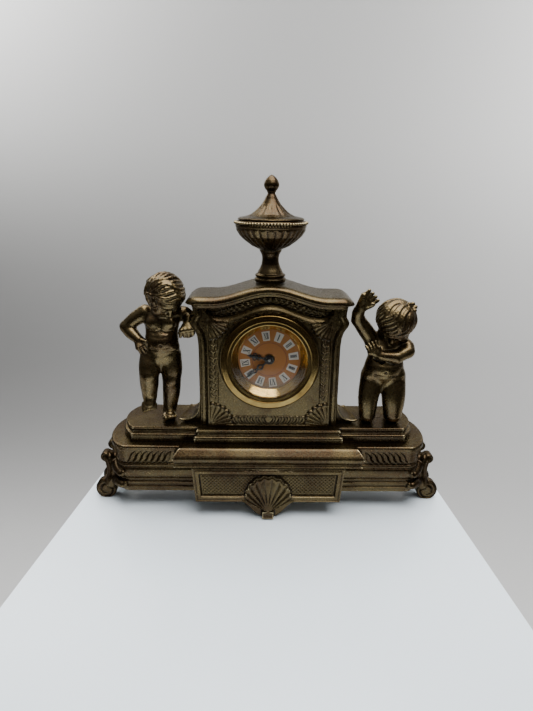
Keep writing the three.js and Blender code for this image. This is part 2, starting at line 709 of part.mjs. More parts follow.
const bowlPoint = (share, height) => [URN_RIM_R * share, urnBowlLow + SEAT + URN_BOWL_HEIGHT * height];
piece(group, "urn_bowl", "casting", bored([
  bowlPoint(0.28, 0), bowlPoint(0.48, 0.14), bowlPoint(0.7, 0.32), bowlPoint(0.84, 0.5),
  bowlPoint(0.92, 0.68), bowlPoint(0.92, 0.8), bowlPoint(1, 0.86), bowlPoint(0.97, 1),
]));

const lidPoint = (share, height) => {
  const r = URN_NECK_R + (URN_LID_R - URN_NECK_R) * share;
  return [r, urnLidLow + URN_LID_HEIGHT * height];
};
piece(group, "urn_lid", "casting", bored([
  lidPoint(0.96, 0), lidPoint(1, 0.05), lidPoint(0.64, 0.16), lidPoint(0.4, 0.31), lidPoint(0.22, 0.52),
  lidPoint(0.07, 0.75), lidPoint(0.03, 0.92), lidPoint(0.14, 1),
]));

const knobPoint = (share, height) => [URN_KNOB_R * share, urnNeck + SEAT + URN_KNOB_HEIGHT * height];
const knobSocket = rod(urnBore, urnNeck, urnNeck + URN_KNOB_HEIGHT * 0.6);
piece(group, "urn_knob", "casting", cut(turned([
  [0, knobPoint(0, 0)[1]], knobPoint(0.62, 0), knobPoint(0.68, 0.12), knobPoint(0.96, 0.3),
  knobPoint(1, 0.45), knobPoint(0.86, 0.66), knobPoint(0.5, 0.86), knobPoint(0.24, 0.95), [0, urnTop],
], 20), knobSocket));

const nutTop = nutSeat - SEAT;
const rodLow = nutTop - URN_NUT_HEIGHT - 1.5;
piece(group, "urn_rod", "steel", rod(URN_ROD_R, rodLow, urnNeck + URN_KNOB_HEIGHT * 0.55));
piece(group, "urn_nut", "brass", pipe(urnBore, URN_NUT_R, nutTop - URN_NUT_HEIGHT, nutTop, 6));

// Child figures: rounded limbs and bodies run together.
function limb(a, b, ra, rb, segments = 6) {
  const from = v3(...a);
  const to = v3(...b);
  const length = from.distanceTo(to);
  const profile = [[0, -ra]];
  profile.push([ra * Math.sin(rad(50)), -ra * Math.cos(rad(50))]);
  profile.push([ra, 0]);
  profile.push([rb, length]);
  profile.push([rb * Math.sin(rad(50)), length + rb * Math.cos(rad(50))]);
  profile.push([0, length + rb]);
  const turn = new THREE.Quaternion().setFromUnitVectors(v3(0, 0, 1), to.clone().sub(from).normalize());
  return turned(profile, segments).applyQuaternion(turn).translate(...a);
}

function ball(at, rx, ry, rz) {
  const round = new THREE.SphereGeometry(1, 10, 6).rotateX(Math.PI / 2);
  return round.scale(rx, ry, rz).translate(...at);
}

const figureFloor = box(-FOOT_REACH, FOOT_REACH, -FOOT_REACH, FOOT_REACH, 0, CASE_LOW);
const placed = (figure, x) =>
  figure.scale(FIGURE_UNIT, FIGURE_UNIT, FIGURE_UNIT).translate(x, 0, DECK_TOP);

const puttoLeft = join(
  ball([2.5, -7, 108.6], 17.2, 17, 17.8),
  limb([0, -1, 88], [1.5, -5, 100], 7.5, 7.5),
  ball([-2, -1, 83], 15.6, 11, 13.5),
  ball([-2.5, -2.5, 67.5], 15.4, 13, 15),
  ball([-3.5, -0.5, 56.5], 17, 13.5, 11.5),
  limb([-15, -1, 91], [-29.5, -1, 81.5], 6.4, 5.4),
  limb([-29.5, -1, 81.5], [-18.5, -9, 71], 5.4, 4.4),
  limb([10, 0, 91], [18, 2, 87.5], 6.4, 5.4),
  limb([18, 2, 87.5], [19.5, -10, 79], 5.2, 4.4),
  limb([19.5, -10, 79], [19.5, -12, 73.5], 4.8, 3.8),
  limb([-11, -3, 54], [-12, -12, 43], 10.4, 8.4),
  limb([-12, -12, 43], [-14, -6, 21], 7.8, 5.2),
  limb([-14, -7, 17.5], [-13.5, -12, 11.5], 4.8, 4),
  limb([3, -1, 54], [3.5, -6, 36], 10.6, 8.2),
  limb([3.5, -5.5, 36], [0, -2, 10], 8, 5.6),
  limb([-0.5, -1, 4], [4, -9.5, 3], 5.6, 4.2),
);
piece(group, "putto_left", "casting", cut(
  placed(puttoLeft, LEFT_FIGURE_X), figureFloor, screwHole(STATIONS.putto_left_screw),
));

const puttoRight = join(
  ball([4.5, -5, 86.5], 18, 17, 17.2),
  ball([16, -6, 98], 6.5, 6, 5.6),
  limb([1, -1, 65], [3.5, -4, 78], 8, 8),
  ball([0, -1, 58], 16.6, 11.5, 13.5),
  ball([-1, -3, 43], 16.6, 13.5, 15),
  ball([-1.5, 1, 34], 18.2, 14, 12.5),
  limb([-11, 1, 68], [-16, 1, 80], 6.4, 5.4),
  limb([-16, 1, 80], [-22.5, -1, 95], 5.2, 4.2),
  limb([-22.5, -1.5, 97], [-17.5, -3, 107.5], 4.2, 2.8),
  limb([13.5, 0, 67], [17, -7, 62], 6.4, 5.4),
  limb([17, -7, 62], [0, -15, 58.5], 5.4, 4.6),
  limb([0, -15, 58.5], [-14, -14, 64], 4.6, 3.6),
  limb([-10.5, -1, 34], [-12, -8.5, 6.5], 11.4, 8.2),
  limb([7.5, -1, 34], [6, -8.5, 5.5], 11.4, 8.4),
  limb([-12, -8.5, 5.5], [-10, 13, 4.2], 7.2, 4.6),
  limb([6, -8.5, 5], [14, 12, 4.2], 7.4, 4.6),
);
piece(group, "putto_right", "casting", cut(
  placed(puttoRight, RIGHT_FIGURE_X), figureFloor, screwHole(STATIONS.putto_right_screw),
));

// Movement insert: its own frame has X right, Y up and Z out of the dial, from the front plate's face.
const insert = new THREE.Group();
insert.name = "movement_insert";
insert.rotation.set(Math.PI / 2, 0, 0);
insert.position.set(0, PLATE_FACE, DIAL_Z);
group.add(insert);
const dialGroup = new THREE.Group();
dialGroup.name = "turned_insert";
dialGroup.rotation.z = rad(INSERT_TURN);
insert.add(dialGroup);

const drumInner = DRUM_R - DRUM_WALL;
const lensLow = SEAT + BEZEL_HEIGHT * 0.25;
const lensTop = lensLow + LENS_THICK;
const lensR = BEZEL_EYE + 0.9;

piece(dialGroup, "bezel", "brass", turned([
  [lensR + SEAT, SEAT], [BEZEL_R - 0.6, SEAT], [BEZEL_R, SEAT + 1], [BEZEL_R - 0.4, SEAT + 2],
  [BEZEL_R - 2, SEAT + 2.3], [BEZEL_R - 4.8, SEAT + BEZEL_HEIGHT - 0.4], [BEZEL_R - 6.2, SEAT + BEZEL_HEIGHT],
  [BEZEL_EYE, SEAT + BEZEL_HEIGHT - 0.8], [BEZEL_EYE, lensTop + SEAT], [lensR + SEAT, lensTop + SEAT],
  [lensR + SEAT, SEAT],
], 36));
piece(dialGroup, "lens", "lens", turned([
  [0, lensLow], [lensR, lensLow], [lensR, lensTop - 0.3], [BEZEL_EYE - 0.5, lensTop],
  [lensR * 0.5, lensTop + 0.9], [0, lensTop + 1.2],
], 28));

const dialFace = -DIAL_BACK;
const dialLow = dialFace - DIAL_THICK;
const dialR = drumInner - SEAT;
const surroundTop = lensLow - SEAT;
piece(dialGroup, "dial_surround", "brass", turned([
  [DIAL_SHOW_R, dialFace + SEAT], [dialR, dialFace + SEAT], [dialR, surroundTop], [dialR - 0.9, surroundTop],
  [DIAL_SHOW_R, dialFace + SEAT],
], 32));

const HOUR_PIPE_R = CENTRE_ARBOR_R + 1.2;
const dialHole = HOUR_PIPE_R + RUN;
const movePlateTop = dialLow - MOTION_SPACE;
const movePlateLow = movePlateTop - MOVE_PLATE;
const movePlate2Top = movePlateLow - MOVE_SPAN;
const movePlate2Low = movePlate2Top - MOVE_PLATE;
const dialFootAt = (side) => v2(side * 24, -10);
const dialFeet = [-1, 1].map((side) => {
  const at = dialFootAt(side);
  return rod(1, movePlateTop + SEAT, dialLow + 0.4, 10).translate(at.x, at.y, 0);
});
piece(dialGroup, "dial", "dial", join(pipe(dialHole, dialR, dialLow, dialFace, 32), ...dialFeet));

piece(dialGroup, "movement_drum", "brass", pipe(drumInner, DRUM_R, -DRUM_LENGTH, 0, 32));

// Arbor stations in the movement.
function polar(from, distance, angle) {
  return v2(from.x + distance * Math.cos(rad(angle)), from.y + distance * Math.sin(rad(angle)));
}
const mesh = (module, a, b) => (module * (a + b)) / 2;
const centreAt = v2(0, 0);
const barrelAt = polar(centreAt, mesh(GEAR, GREAT_TEETH, CENTRE_PINION), BARREL_ANGLE);
const thirdAt = polar(centreAt, mesh(CENTRE_MODULE, CENTRE_TEETH, THIRD_PINION), THIRD_ANGLE);
const fourthAt = polar(thirdAt, mesh(THIRD_MODULE, THIRD_TEETH, FOURTH_PINION), FOURTH_ANGLE);
const escapeAt = polar(fourthAt, mesh(FOURTH_MODULE, FOURTH_TEETH, ESCAPE_PINION), ESCAPE_ANGLE);
const palletAt = polar(escapeAt, PALLET_REACH, PALLET_ANGLE);
const balanceAt = polar(palletAt, FORK_REACH, BALANCE_ANGLE);
const minuteWheelAt = polar(centreAt, mesh(GEAR, CANNON_TEETH, MINUTE_TEETH), MINUTE_WHEEL_ANGLE);
const hourModule = (GEAR * (CANNON_TEETH + MINUTE_TEETH)) / (MINUTE_PINION + HOUR_TEETH);

// Gear outline with a tooth, or a gap, facing the given angle.
function gearShape(teeth, module, angle, { pinion = false, gap = false } = {}) {
  const count = Math.round(teeth);
  const step = (2 * Math.PI) / count;
  const r = (module * count) / 2;
  const tip = r + module * (pinion ? 0.55 : 1.0);
  const root = r - module * (pinion ? 1.25 : 1.0);
  const tipHalf = step * 0.08;
  const rootHalf = step * (pinion ? 0.17 : 0.24);
  const start = rad(angle) + (gap ? step / 2 : 0);
  const shape = new THREE.Shape();
  for (let i = 0; i < count; i++) {
    const a = start + i * step;
    const top = pinion ? [[tip, -tipHalf], [tip, tipHalf]] : [[tip, 0]];
    const corners = [[root, -rootHalf], ...top, [root, rootHalf]];
    for (const [radius, turn] of corners) {
      const p = [radius * Math.cos(a + turn), radius * Math.sin(a + turn)];
      if (i === 0 && turn === -rootHalf) shape.moveTo(...p);
      else shape.lineTo(...p);
    }
  }
  shape.closePath();
  return shape;
}

// Sawtooth wheel, for the ratchet and the escape wheel.
function sawShape(teeth, tip, root, lean, angle) {
  const shape = new THREE.Shape();
  const step = (2 * Math.PI) / teeth;
  for (let i = 0; i < teeth; i++) {
    const a = rad(angle) + i * step;
    const p = [root * Math.cos(a), root * Math.sin(a)];
    if (i === 0) shape.moveTo(...p);
    else shape.lineTo(...p);
    shape.lineTo(tip * Math.cos(a + lean * step), tip * Math.sin(a + lean * step));
    shape.lineTo(tip * Math.cos(a + (lean + 0.12) * step), tip * Math.sin(a + (lean + 0.12) * step));
  }
  shape.closePath();
  return shape;
}

// An arbor with a wheel and a pinion, pivoted in both plates.
const pivotTop = movePlateTop - 0.3;
const pivotLow = movePlate2Low + 0.3;
const wheelOn = (at, ...parts) =>
  join(rod(ARBOR_R, pivotLow, pivotTop, 10), ...parts).translate(at.x, at.y, 0);
const level = (share) => movePlateLow - MOVE_SPAN * share;
const greatZ = level(0.07);
const centreZ = level(0.86);
const thirdZ = level(0.58);
const fourthZ = level(0.26);
const escapeZ = level(0.58);
const balanceZ = level(0.36);
const hairZ = level(0.74);
const gear = (shape, top, thick = GEAR_THICK) => slab(shape, top - thick, top);
const pinionAt = (shape, top, thick = GEAR_THICK) => slab(shape, top - thick - 0.4, top + 0.4);

// Centre wheel: a pipe with the first pinion, turning on the centre arbor by friction.
const centrePipe = pipe(CENTRE_ARBOR_R + RUN, CENTRE_ARBOR_R + RUN + 0.35, level(0.96), level(0.02), 12);
const centreBore = rod(CENTRE_ARBOR_R + RUN, level(1.2), level(-0.2), 12);
piece(dialGroup, "centre_wheel", "brass", cut(join(
  centrePipe,
  gear(gearShape(CENTRE_TEETH, CENTRE_MODULE, THIRD_ANGLE), centreZ),
  pinionAt(gearShape(CENTRE_PINION, GEAR, BARREL_ANGLE, { pinion: true, gap: true }), greatZ),
), centreBore));

piece(dialGroup, "third_wheel", "brass", wheelOn(
  thirdAt,
  gear(gearShape(THIRD_TEETH, THIRD_MODULE, FOURTH_ANGLE), thirdZ),
  pinionAt(gearShape(THIRD_PINION, CENTRE_MODULE, THIRD_ANGLE + 180, { pinion: true, gap: true }), centreZ),
));
piece(dialGroup, "fourth_wheel", "brass", wheelOn(
  fourthAt,
  gear(gearShape(FOURTH_TEETH, FOURTH_MODULE, ESCAPE_ANGLE), fourthZ),
  pinionAt(gearShape(FOURTH_PINION, THIRD_MODULE, FOURTH_ANGLE + 180, { pinion: true, gap: true }), thirdZ),
));
piece(dialGroup, "escape_wheel", "brass", wheelOn(
  escapeAt,
  gear(sawShape(ESCAPE_TEETH, ESCAPE_R, ESCAPE_R * 0.72, 0.35, 0), escapeZ),
  pinionAt(gearShape(ESCAPE_PINION, FOURTH_MODULE, ESCAPE_ANGLE + 180, { pinion: true, gap: true }), fourthZ),
));

// Pallet lever: two pallets clear of the escape wheel and a fork toward the balance.
const toEscape = PALLET_ANGLE + 180;
function palletGeometry() {
  const spread = 46;
  const parts = [rod(1.5, escapeZ - GEAR_THICK, escapeZ, 10)];
  for (const side of [-1, 1]) {
    const tip = polar(escapeAt, ESCAPE_R + PALLET_CLEAR, PALLET_ANGLE + side * spread).sub(palletAt);
    const length = tip.length();
    const turn = Math.atan2(tip.y, tip.x);
    parts.push(box(0, length, -0.5, 0.5, escapeZ - GEAR_THICK, escapeZ).rotateZ(turn));
  }
  const fork = FORK_REACH - 2.4;
  parts.push(box(0, fork, -0.5, 0.5, escapeZ - GEAR_THICK, escapeZ).rotateZ(rad(BALANCE_ANGLE)));
  return wheelOn(palletAt, ...parts);
}
piece(dialGroup, "pallet_lever", "steel", palletGeometry());

// Balance: a rim on two arms, a staff and a small roller.
piece(dialGroup, "balance_wheel", "brass", wheelOn(
  balanceAt,
  pipe(BALANCE_R - BALANCE_RIM, BALANCE_R, balanceZ - 1.4, balanceZ, 20),
  box(-BALANCE_R + 0.5, BALANCE_R - 0.5, -0.7, 0.7, balanceZ - 1.2, balanceZ - 0.2),
  rod(1.5, escapeZ - GEAR_THICK, escapeZ, 10),
));

function spiral(inner, outer, turns, thick, angle) {
  const steps = Math.round(turns * 11);
  const outside = [];
  const inside = [];
  for (let i = 0; i <= steps; i++) {
    const a = rad(angle) + (2 * Math.PI * turns * i) / steps;
    const r = inner + ((outer - inner) * i) / steps;
    outside.push(v2((r + thick / 2) * Math.cos(a), (r + thick / 2) * Math.sin(a)));
    inside.push(v2((r - thick / 2) * Math.cos(a), (r - thick / 2) * Math.sin(a)));
  }
  return new THREE.Shape([...outside, ...inside.reverse()]);
}
piece(dialGroup, "hairspring", "blued", slab(spiral(1.5, 4.6, 3, 0.25, 0), hairZ - 1, hairZ)
  .translate(balanceAt.x, balanceAt.y, 0));

// Barrel with the great wheel on its front, its spring inside and the arbor through it.
const barrelR = (GEAR * GREAT_TEETH) / 2 - 1.6;
const barrelBore = WIND_ARBOR_R + RUN;
const barrelLow = greatZ - BARREL_LENGTH;
const barrelCup = turned([
  [barrelBore, barrelLow], [barrelR, barrelLow], [barrelR, greatZ - 0.5], [barrelR - 0.8, greatZ - 0.5],
  [barrelR - 0.8, barrelLow + 0.9], [barrelBore, barrelLow + 0.9], [barrelBore, barrelLow],
], 16);
const greatWheel = cut(
  gear(gearShape(GREAT_TEETH, GEAR, BARREL_ANGLE + 180), greatZ),
  rod(barrelBore, barrelLow, greatZ + 1, SMALL_ROUND),
);
const springVent = rod(0.9, greatZ - 3, greatZ + 1, 8).translate(barrelR - 3, 0, 0);
const barrelWhole = cut(join(barrelCup, greatWheel), springVent);
piece(dialGroup, "barrel", "brass", barrelWhole.translate(barrelAt.x, barrelAt.y, 0));
piece(dialGroup, "mainspring", "blued", slab(
  spiral(WIND_ARBOR_R + 0.8, barrelR - 1.6, SPRING_TURNS, SPRING_THICK, 0),
  barrelLow + 1.4, greatZ - GEAR_THICK - 0.5,
).translate(barrelAt.x, barrelAt.y, 0));

const ratchetTop = movePlate2Low - 0.5;
const ratchetLow = ratchetTop - 1.2;
const windLow = CAP_LOW - KEY_OUT + 3;
const windRod = rod(WIND_ARBOR_R, windLow, pivotTop);
piece(dialGroup, "barrel_arbor", "steel", windRod.translate(barrelAt.x, barrelAt.y, 0));
piece(dialGroup, "ratchet_wheel", "steel", cut(
  slab(sawShape(RATCHET_TEETH, RATCHET_R, RATCHET_R * 0.84, 0.1, 0), ratchetLow, ratchetTop),
  rod(WIND_ARBOR_R + SEAT, ratchetLow - 1, ratchetTop + 1),
).translate(barrelAt.x, barrelAt.y, 0));

// Click beside the ratchet, on a stud of its own.
const clickAt = polar(barrelAt, RATCHET_R + 6, 40);
const clickTip = polar(barrelAt, RATCHET_R + CLICK_CLEAR + 1.1, 75).sub(clickAt);
const clickTurn = Math.atan2(clickTip.y, clickTip.x);
const clickArm = box(0, clickTip.length(), -0.9, 0.9, ratchetLow, ratchetTop).rotateZ(clickTurn);
piece(dialGroup, "click", "steel", join(
  rod(1.8, ratchetLow, ratchetTop, 12),
  clickArm,
  rod(0.8, ratchetTop - 0.2, movePlate2Low + 1.2, 10),
).translate(clickAt.x, clickAt.y, 0));

// Winding key: a hub on the arbor with two flat wings.
const keyTop = CAP_LOW - 1;
const keyLow = CAP_LOW - KEY_OUT;
const wing = new THREE.Shape();
wing.absellipse(0, 0, KEY_WING / 2 + 0.8, (KEY_OUT - 4.5) / 2, 0, 2 * Math.PI, false, 0);
const wings = [-1, 1].map((side) => slab(wing, -0.8, 0.8, 5)
  .rotateX(Math.PI / 2)
  .translate(side * (KEY_WING / 2 + 1.4), 0, keyLow + (KEY_OUT - 4.5) / 2));
piece(dialGroup, "winding_key", "brass", cut(
  join(rod(2.9, keyLow + 0.6, keyTop, 16), ...wings),
  rod(WIND_ARBOR_R + SEAT, windLow - SEAT, keyTop + 1),
).translate(barrelAt.x, barrelAt.y, 0));

// Centre arbor with the cannon pinion in front, and the hand-setting knob behind.
const minuteWheelTop = movePlateTop + 0.8 + GEAR_THICK;
const hourWheelTop = minuteWheelTop + 1 + GEAR_THICK;
const hourHandLow = dialFace + 0.9;
const hourHandTop = hourHandLow + HAND_THICK;
const minuteHandLow = hourHandTop + HAND_GAP;
const minuteHandTop = minuteHandLow + HAND_THICK;
const knobTop = CAP_LOW - 0.8;
const knobLow = CAP_LOW - KNOB_OUT;
const arborTop = minuteHandTop + 1;
const cannonShape = gearShape(CANNON_TEETH, GEAR, MINUTE_WHEEL_ANGLE, { pinion: true });
piece(dialGroup, "centre_arbor", "steel", join(
  rod(CENTRE_ARBOR_R, knobLow + 1, arborTop, 12),
  slab(cannonShape, minuteWheelTop - GEAR_THICK - 0.3, minuteWheelTop + 0.3),
));
const grip = new THREE.Shape();
for (let i = 0; i < 32; i++) {
  const r = i % 2 ? KNOB_R : KNOB_R * 0.93;
  const a = (2 * Math.PI * i) / 32;
  if (i === 0) grip.moveTo(r * Math.cos(a), r * Math.sin(a));
  else grip.lineTo(r * Math.cos(a), r * Math.sin(a));
}
piece(dialGroup, "set_knob", "brass", cut(
  slab(grip, knobLow, knobTop),
  rod(CENTRE_ARBOR_R + SEAT, knobLow + 1 - SEAT, knobTop + 1),
));

// Motion work: minute wheel with its pinion on a stud, hour wheel on a pipe around the arbor.
const motionStud = rod(ARBOR_R, movePlateLow + 0.3, hourWheelTop + 0.3, 10);
const minutePinion = gearShape(MINUTE_PINION, hourModule, MINUTE_WHEEL_ANGLE + 180, { pinion: true });
piece(dialGroup, "minute_wheel", "brass", join(
  motionStud,
  gear(gearShape(MINUTE_TEETH, GEAR, MINUTE_WHEEL_ANGLE + 180, { gap: true }), minuteWheelTop),
  slab(minutePinion, minuteWheelTop - 0.2, hourWheelTop + 0.2),
).translate(minuteWheelAt.x, minuteWheelAt.y, 0));
piece(dialGroup, "hour_wheel", "brass", cut(
  join(
    gear(gearShape(HOUR_TEETH, hourModule, MINUTE_WHEEL_ANGLE, { gap: true }), hourWheelTop),
    rod(HOUR_PIPE_R, hourWheelTop - GEAR_THICK, hourHandTop + 0.3, 16),
  ),
  rod(CENTRE_ARBOR_R + RUN, movePlateLow, arborTop + 1, 16),
));

// Hands: serpentine blades on round bosses, set to the time shown.
const HOUR_AT = 9 + 40 / 60;
const MINUTE_AT = 40;
function handGeometry(length, boss, eye, low, high, width) {
  const shape = new THREE.Shape();
  const left = [];
  const right = [];
  const steps = 14;
  for (let i = 0; i <= steps; i++) {
    const t = i / steps;
    const along = boss * 0.8 + (length - boss * 0.8) * t;
    const sway = width * 1.15 * Math.sin(2 * Math.PI * t) * (1 - 0.35 * t);
    const half = width * (0.26 + 0.6 * Math.exp(-(((t - 0.68) / 0.16) ** 2))) * (1 - t ** 6) + 0.14;
    left.push(v2(sway - half, along));
    right.push(v2(sway + half, along));
  }
  shape.setFromPoints([...right, ...left.reverse()]);
  return cut(join(slab(shape, low, high), rod(boss, low, high, 18)), rod(eye, low - 1, high + 1, 16));
}
const handTurn = (hours) => -rad((hours / 12) * 360);
const hourEye = HOUR_PIPE_R + RUN;
const hourHand = handGeometry(HOUR_LENGTH, hourEye + 1, hourEye, hourHandLow, hourHandTop, 1.7);
piece(dialGroup, "hour_hand", "hand", hourHand.rotateZ(handTurn(HOUR_AT)));
const minuteEye = CENTRE_ARBOR_R + RUN;
const minuteHand = handGeometry(MINUTE_LENGTH, minuteEye + 1.2, minuteEye, minuteHandLow, minuteHandTop, 1.5);
piece(dialGroup, "minute_hand", "hand", minuteHand.rotateZ(handTurn(MINUTE_AT / 5)));
piece(dialGroup, "hand_nut", "brass", pipe(
  CENTRE_ARBOR_R + RUN, CENTRE_ARBOR_R + 1.1, minuteHandTop + 0.2, minuteHandTop + 1.2, 14,
));

// Movement plates with a hole for every arbor, and the pillars between them.
const plateR = drumInner - SEAT;
const hole = (at, r) => rod(r + RUN, movePlate2Low - 2, movePlateTop + 2, 8).translate(at.x, at.y, 0);
const trainHoles = [thirdAt, fourthAt, escapeAt, palletAt, balanceAt].map((at) => hole(at, ARBOR_R));
const bothHoles = [hole(centreAt, CENTRE_ARBOR_R), hole(barrelAt, WIND_ARBOR_R), ...trainHoles];
const footHoles = [-1, 1].map((side) => hole(dialFootAt(side), 1));
const plateDisc = (low, high) => rod(plateR, low, high, 24);
piece(dialGroup, "plate_front", "plate", cut(
  plateDisc(movePlateLow, movePlateTop), ...bothHoles, ...footHoles, hole(minuteWheelAt, ARBOR_R),
));
piece(dialGroup, "plate_back", "plate", cut(
  plateDisc(movePlate2Low, movePlate2Top), ...bothHoles, hole(clickAt, 0.8),
));
PILLAR_ANGLES.forEach((angle, i) => {
  const at = polar(centreAt, PILLAR_PITCH, angle);
  const post = rod(PILLAR_R, movePlate2Top + SEAT, movePlateLow - SEAT, 12);
  piece(dialGroup, `movement_pillar_${i + 1}`, "brass", post.translate(at.x, at.y, 0));
});

// Regulator: a lever on the balance's axis behind the back plate, with a pin out through the cap.
const regulatorTop = ratchetLow - 0.8;
const regulatorLow = regulatorTop - 0.8;
const regulatorAngle = 180;
const pinAt = polar(balanceAt, REGULATOR_REACH, regulatorAngle);
const regulatorRing = pipe(ARBOR_R + RUN + 0.3, 2.2, regulatorLow, movePlate2Low - SEAT, 14);
const regulatorArm = box(-REGULATOR_REACH, -1.6, -0.8, 0.8, regulatorLow, regulatorTop);
piece(dialGroup, "regulator_lever", "steel", join(
  regulatorRing.translate(balanceAt.x, balanceAt.y, 0),
  regulatorArm.translate(balanceAt.x, balanceAt.y, 0),
  rod(0.8, CAP_LOW - 2.4, regulatorTop, 10).translate(pinAt.x, pinAt.y, 0),
));

// Rear cap: a spigot in the drum and a flange behind the rear cover, with the holes for the controls.
const slotHalf = 0.8 + 0.5;
const slot = new THREE.Shape();
const slotSweep = rad(REGULATOR_SWING + 6);
slot.absarc(0, 0, REGULATOR_REACH + slotHalf, Math.PI - slotSweep, Math.PI + slotSweep, false);
slot.absarc(0, 0, REGULATOR_REACH - slotHalf, Math.PI + slotSweep, Math.PI - slotSweep, true);
slot.closePath();
const capTop = CAP_LOW + CAP_THICK;
const capSlot = slab(slot, CAP_LOW - 1, capTop + 2 * CAP_SPIGOT, 6).translate(balanceAt.x, balanceAt.y, 0);
const spigotR = drumInner - SEAT;
piece(dialGroup, "drum_cap", "brass", cut(
  join(
    rod(DRUM_R + CAP_FLANGE, CAP_LOW, capTop, 32),
    pipe(spigotR - CAP_SPIGOT_WALL, spigotR, capTop - 0.5, capTop + CAP_SPIGOT, 24),
  ),
  rod(WIND_ARBOR_R + RUN, CAP_LOW - 1, capTop + 1).translate(barrelAt.x, barrelAt.y, 0),
  rod(CENTRE_ARBOR_R + RUN, CAP_LOW - 1, capTop + 1),
  capSlot,
));

// The origin lies under the middle of the clock, front to back.
group.updateMatrixWorld(true);
const reach = new THREE.Box3().setFromObject(group, true);
group.position.y = -(reach.min.y + reach.max.y) / 2;

export default group;
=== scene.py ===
"""The looks of a cast brass mantel clock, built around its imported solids.

The builders work in millimetres, in the frame of the solids: +Z up, the dial towards -Y.
Meshes are written in metres.
"""

import functools
import json
import math

import bmesh
import bpy
import numpy as np
from mathutils import Matrix, Vector


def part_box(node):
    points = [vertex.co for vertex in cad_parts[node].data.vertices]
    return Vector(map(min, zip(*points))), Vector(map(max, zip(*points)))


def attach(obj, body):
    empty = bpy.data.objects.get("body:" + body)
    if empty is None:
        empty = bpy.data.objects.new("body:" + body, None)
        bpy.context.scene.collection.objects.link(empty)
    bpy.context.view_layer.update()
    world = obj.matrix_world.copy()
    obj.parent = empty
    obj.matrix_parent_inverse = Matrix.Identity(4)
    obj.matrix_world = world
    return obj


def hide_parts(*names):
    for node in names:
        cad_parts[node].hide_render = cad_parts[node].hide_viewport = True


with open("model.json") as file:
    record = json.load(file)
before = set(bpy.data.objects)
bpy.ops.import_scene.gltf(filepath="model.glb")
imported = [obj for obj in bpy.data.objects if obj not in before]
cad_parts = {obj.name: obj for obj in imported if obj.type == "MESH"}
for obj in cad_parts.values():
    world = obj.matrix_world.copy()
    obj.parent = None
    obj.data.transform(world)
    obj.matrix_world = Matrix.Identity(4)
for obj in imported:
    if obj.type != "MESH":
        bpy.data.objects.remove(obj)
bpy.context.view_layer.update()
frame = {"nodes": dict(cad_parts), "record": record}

bl_info = {
    "name": "Brass mantel clock",
    "version": (1, 0, 0),
    "blender": (4, 5, 0),
    "location": "3D View > Sidebar > Clock",
    "description": "Dresses the solids of a cast brass mantel clock",
    "category": "Object",
}

MM = 0.001
ROOT = "clock"


class Span:
    """A node's extent at rest, in millimetres."""

    def __init__(self, node):
        low, high = (np.array(corner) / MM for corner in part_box(node))
        self.x0, self.y0, self.z0 = self.low = low
        self.x1, self.y1, self.z1 = self.high = high
        self.cx, self.cy, self.cz = (low + high) / 2
        self.wide, self.deep, self.tall = high - low


BASE = Span("base_shell")
DECK = Span("base_deck")
TABLET = Span("front_tablet")
APRON = Span("apron_panel")
CASE = Span("case_body")
PLATE = Span("front_plate")
CORNICE = Span("cornice")
SCROLL = Span("case_scroll_right")
BEZEL = Span("bezel")
LENS = Span("lens")
DIAL = Span("dial")
SURROUND = Span("dial_surround")
MID_Y = BASE.cy


# Number helpers

def ease(t):
    """Smooth step from 0 to 1."""
    t = np.clip(t, 0, 1)
    return t * t * (3 - 2 * t)


def hump(t):
    """Smooth rise from 0 at -1 to 1 at 0 and back to 0 at 1."""
    return np.where(np.abs(t) < 1, 0.5 + 0.5 * np.cos(np.pi * np.clip(t, -1, 1)), 0)


def bulge(t, power):
    """Round rise from 0 at 0 and back to 0 at 1, fuller with a lower power."""
    return np.sin(np.pi * np.clip(t, 0, 1)) ** power


def ridge(phase):
    """Round-backed ridges with sharp valleys, one to each unit of phase, from 0 to 1."""
    return np.abs(np.sin(np.pi * phase))


def coords(*parts):
    """Points from their coordinates, each an array or one number for all."""
    return np.stack(np.broadcast_arrays(*parts), -1)


def unit(vectors):
    """Vectors with a length of one."""
    vectors = np.asarray(vectors, float)
    return vectors / np.linalg.norm(vectors, axis=-1, keepdims=True)


def dense(points, step):
    """An open path with its long stretches divided."""
    points = np.asarray(points, float)
    out = [points[:1]]
    for a, b in zip(points[:-1], points[1:]):
        count = max(1, int(math.ceil(np.linalg.norm(b - a) / step)))
        t = np.arange(1, count + 1)[:, None] / count
        out.append(a + (b - a) * t)
    return np.concatenate(out)


def stepped(line, counts):
    """A path with each stretch divided by its own count, without its last point."""
    runs = zip(line[:-1], line[1:], counts)
    return np.concatenate([np.linspace(a, b, n, endpoint=False) for a, b, n in runs])


def rounded(points, radius, steps=4):
    """An open path with each inner corner rounded."""
    points = np.asarray(points, float)
    out = [points[0]]
    for a, b, c in zip(points[:-2], points[1:-1], points[2:]):
        start, end = (b + unit(p - b) * min(radius, 0.45 * np.linalg.norm(p - b)) for p in (a, c))
        for t in np.linspace(0, 1, steps):
            out.append((1 - t) ** 2 * start + 2 * t * (1 - t) * b + t * t * end)
    return np.array([*out, points[-1]])


def spline(points, count):
    """A smooth curve through the points, evenly spread."""
    p = np.asarray(points, float)
    p = np.concatenate([2 * p[:1] - p[1:2], p, 2 * p[-1:] - p[-2:-1]])
    out = []
    for t in np.linspace(0, len(p) - 3 - 1e-9, count):
        i, f = int(t), t - int(t)
        a, b, c, d = p[i:i + 4]
        out.append(b + 0.5 * f * (c - a + f * (2 * a - 5 * b + 4 * c - d + f * (3 * (b - c) + d - a))))
    return np.array(out)


# Mesh helpers

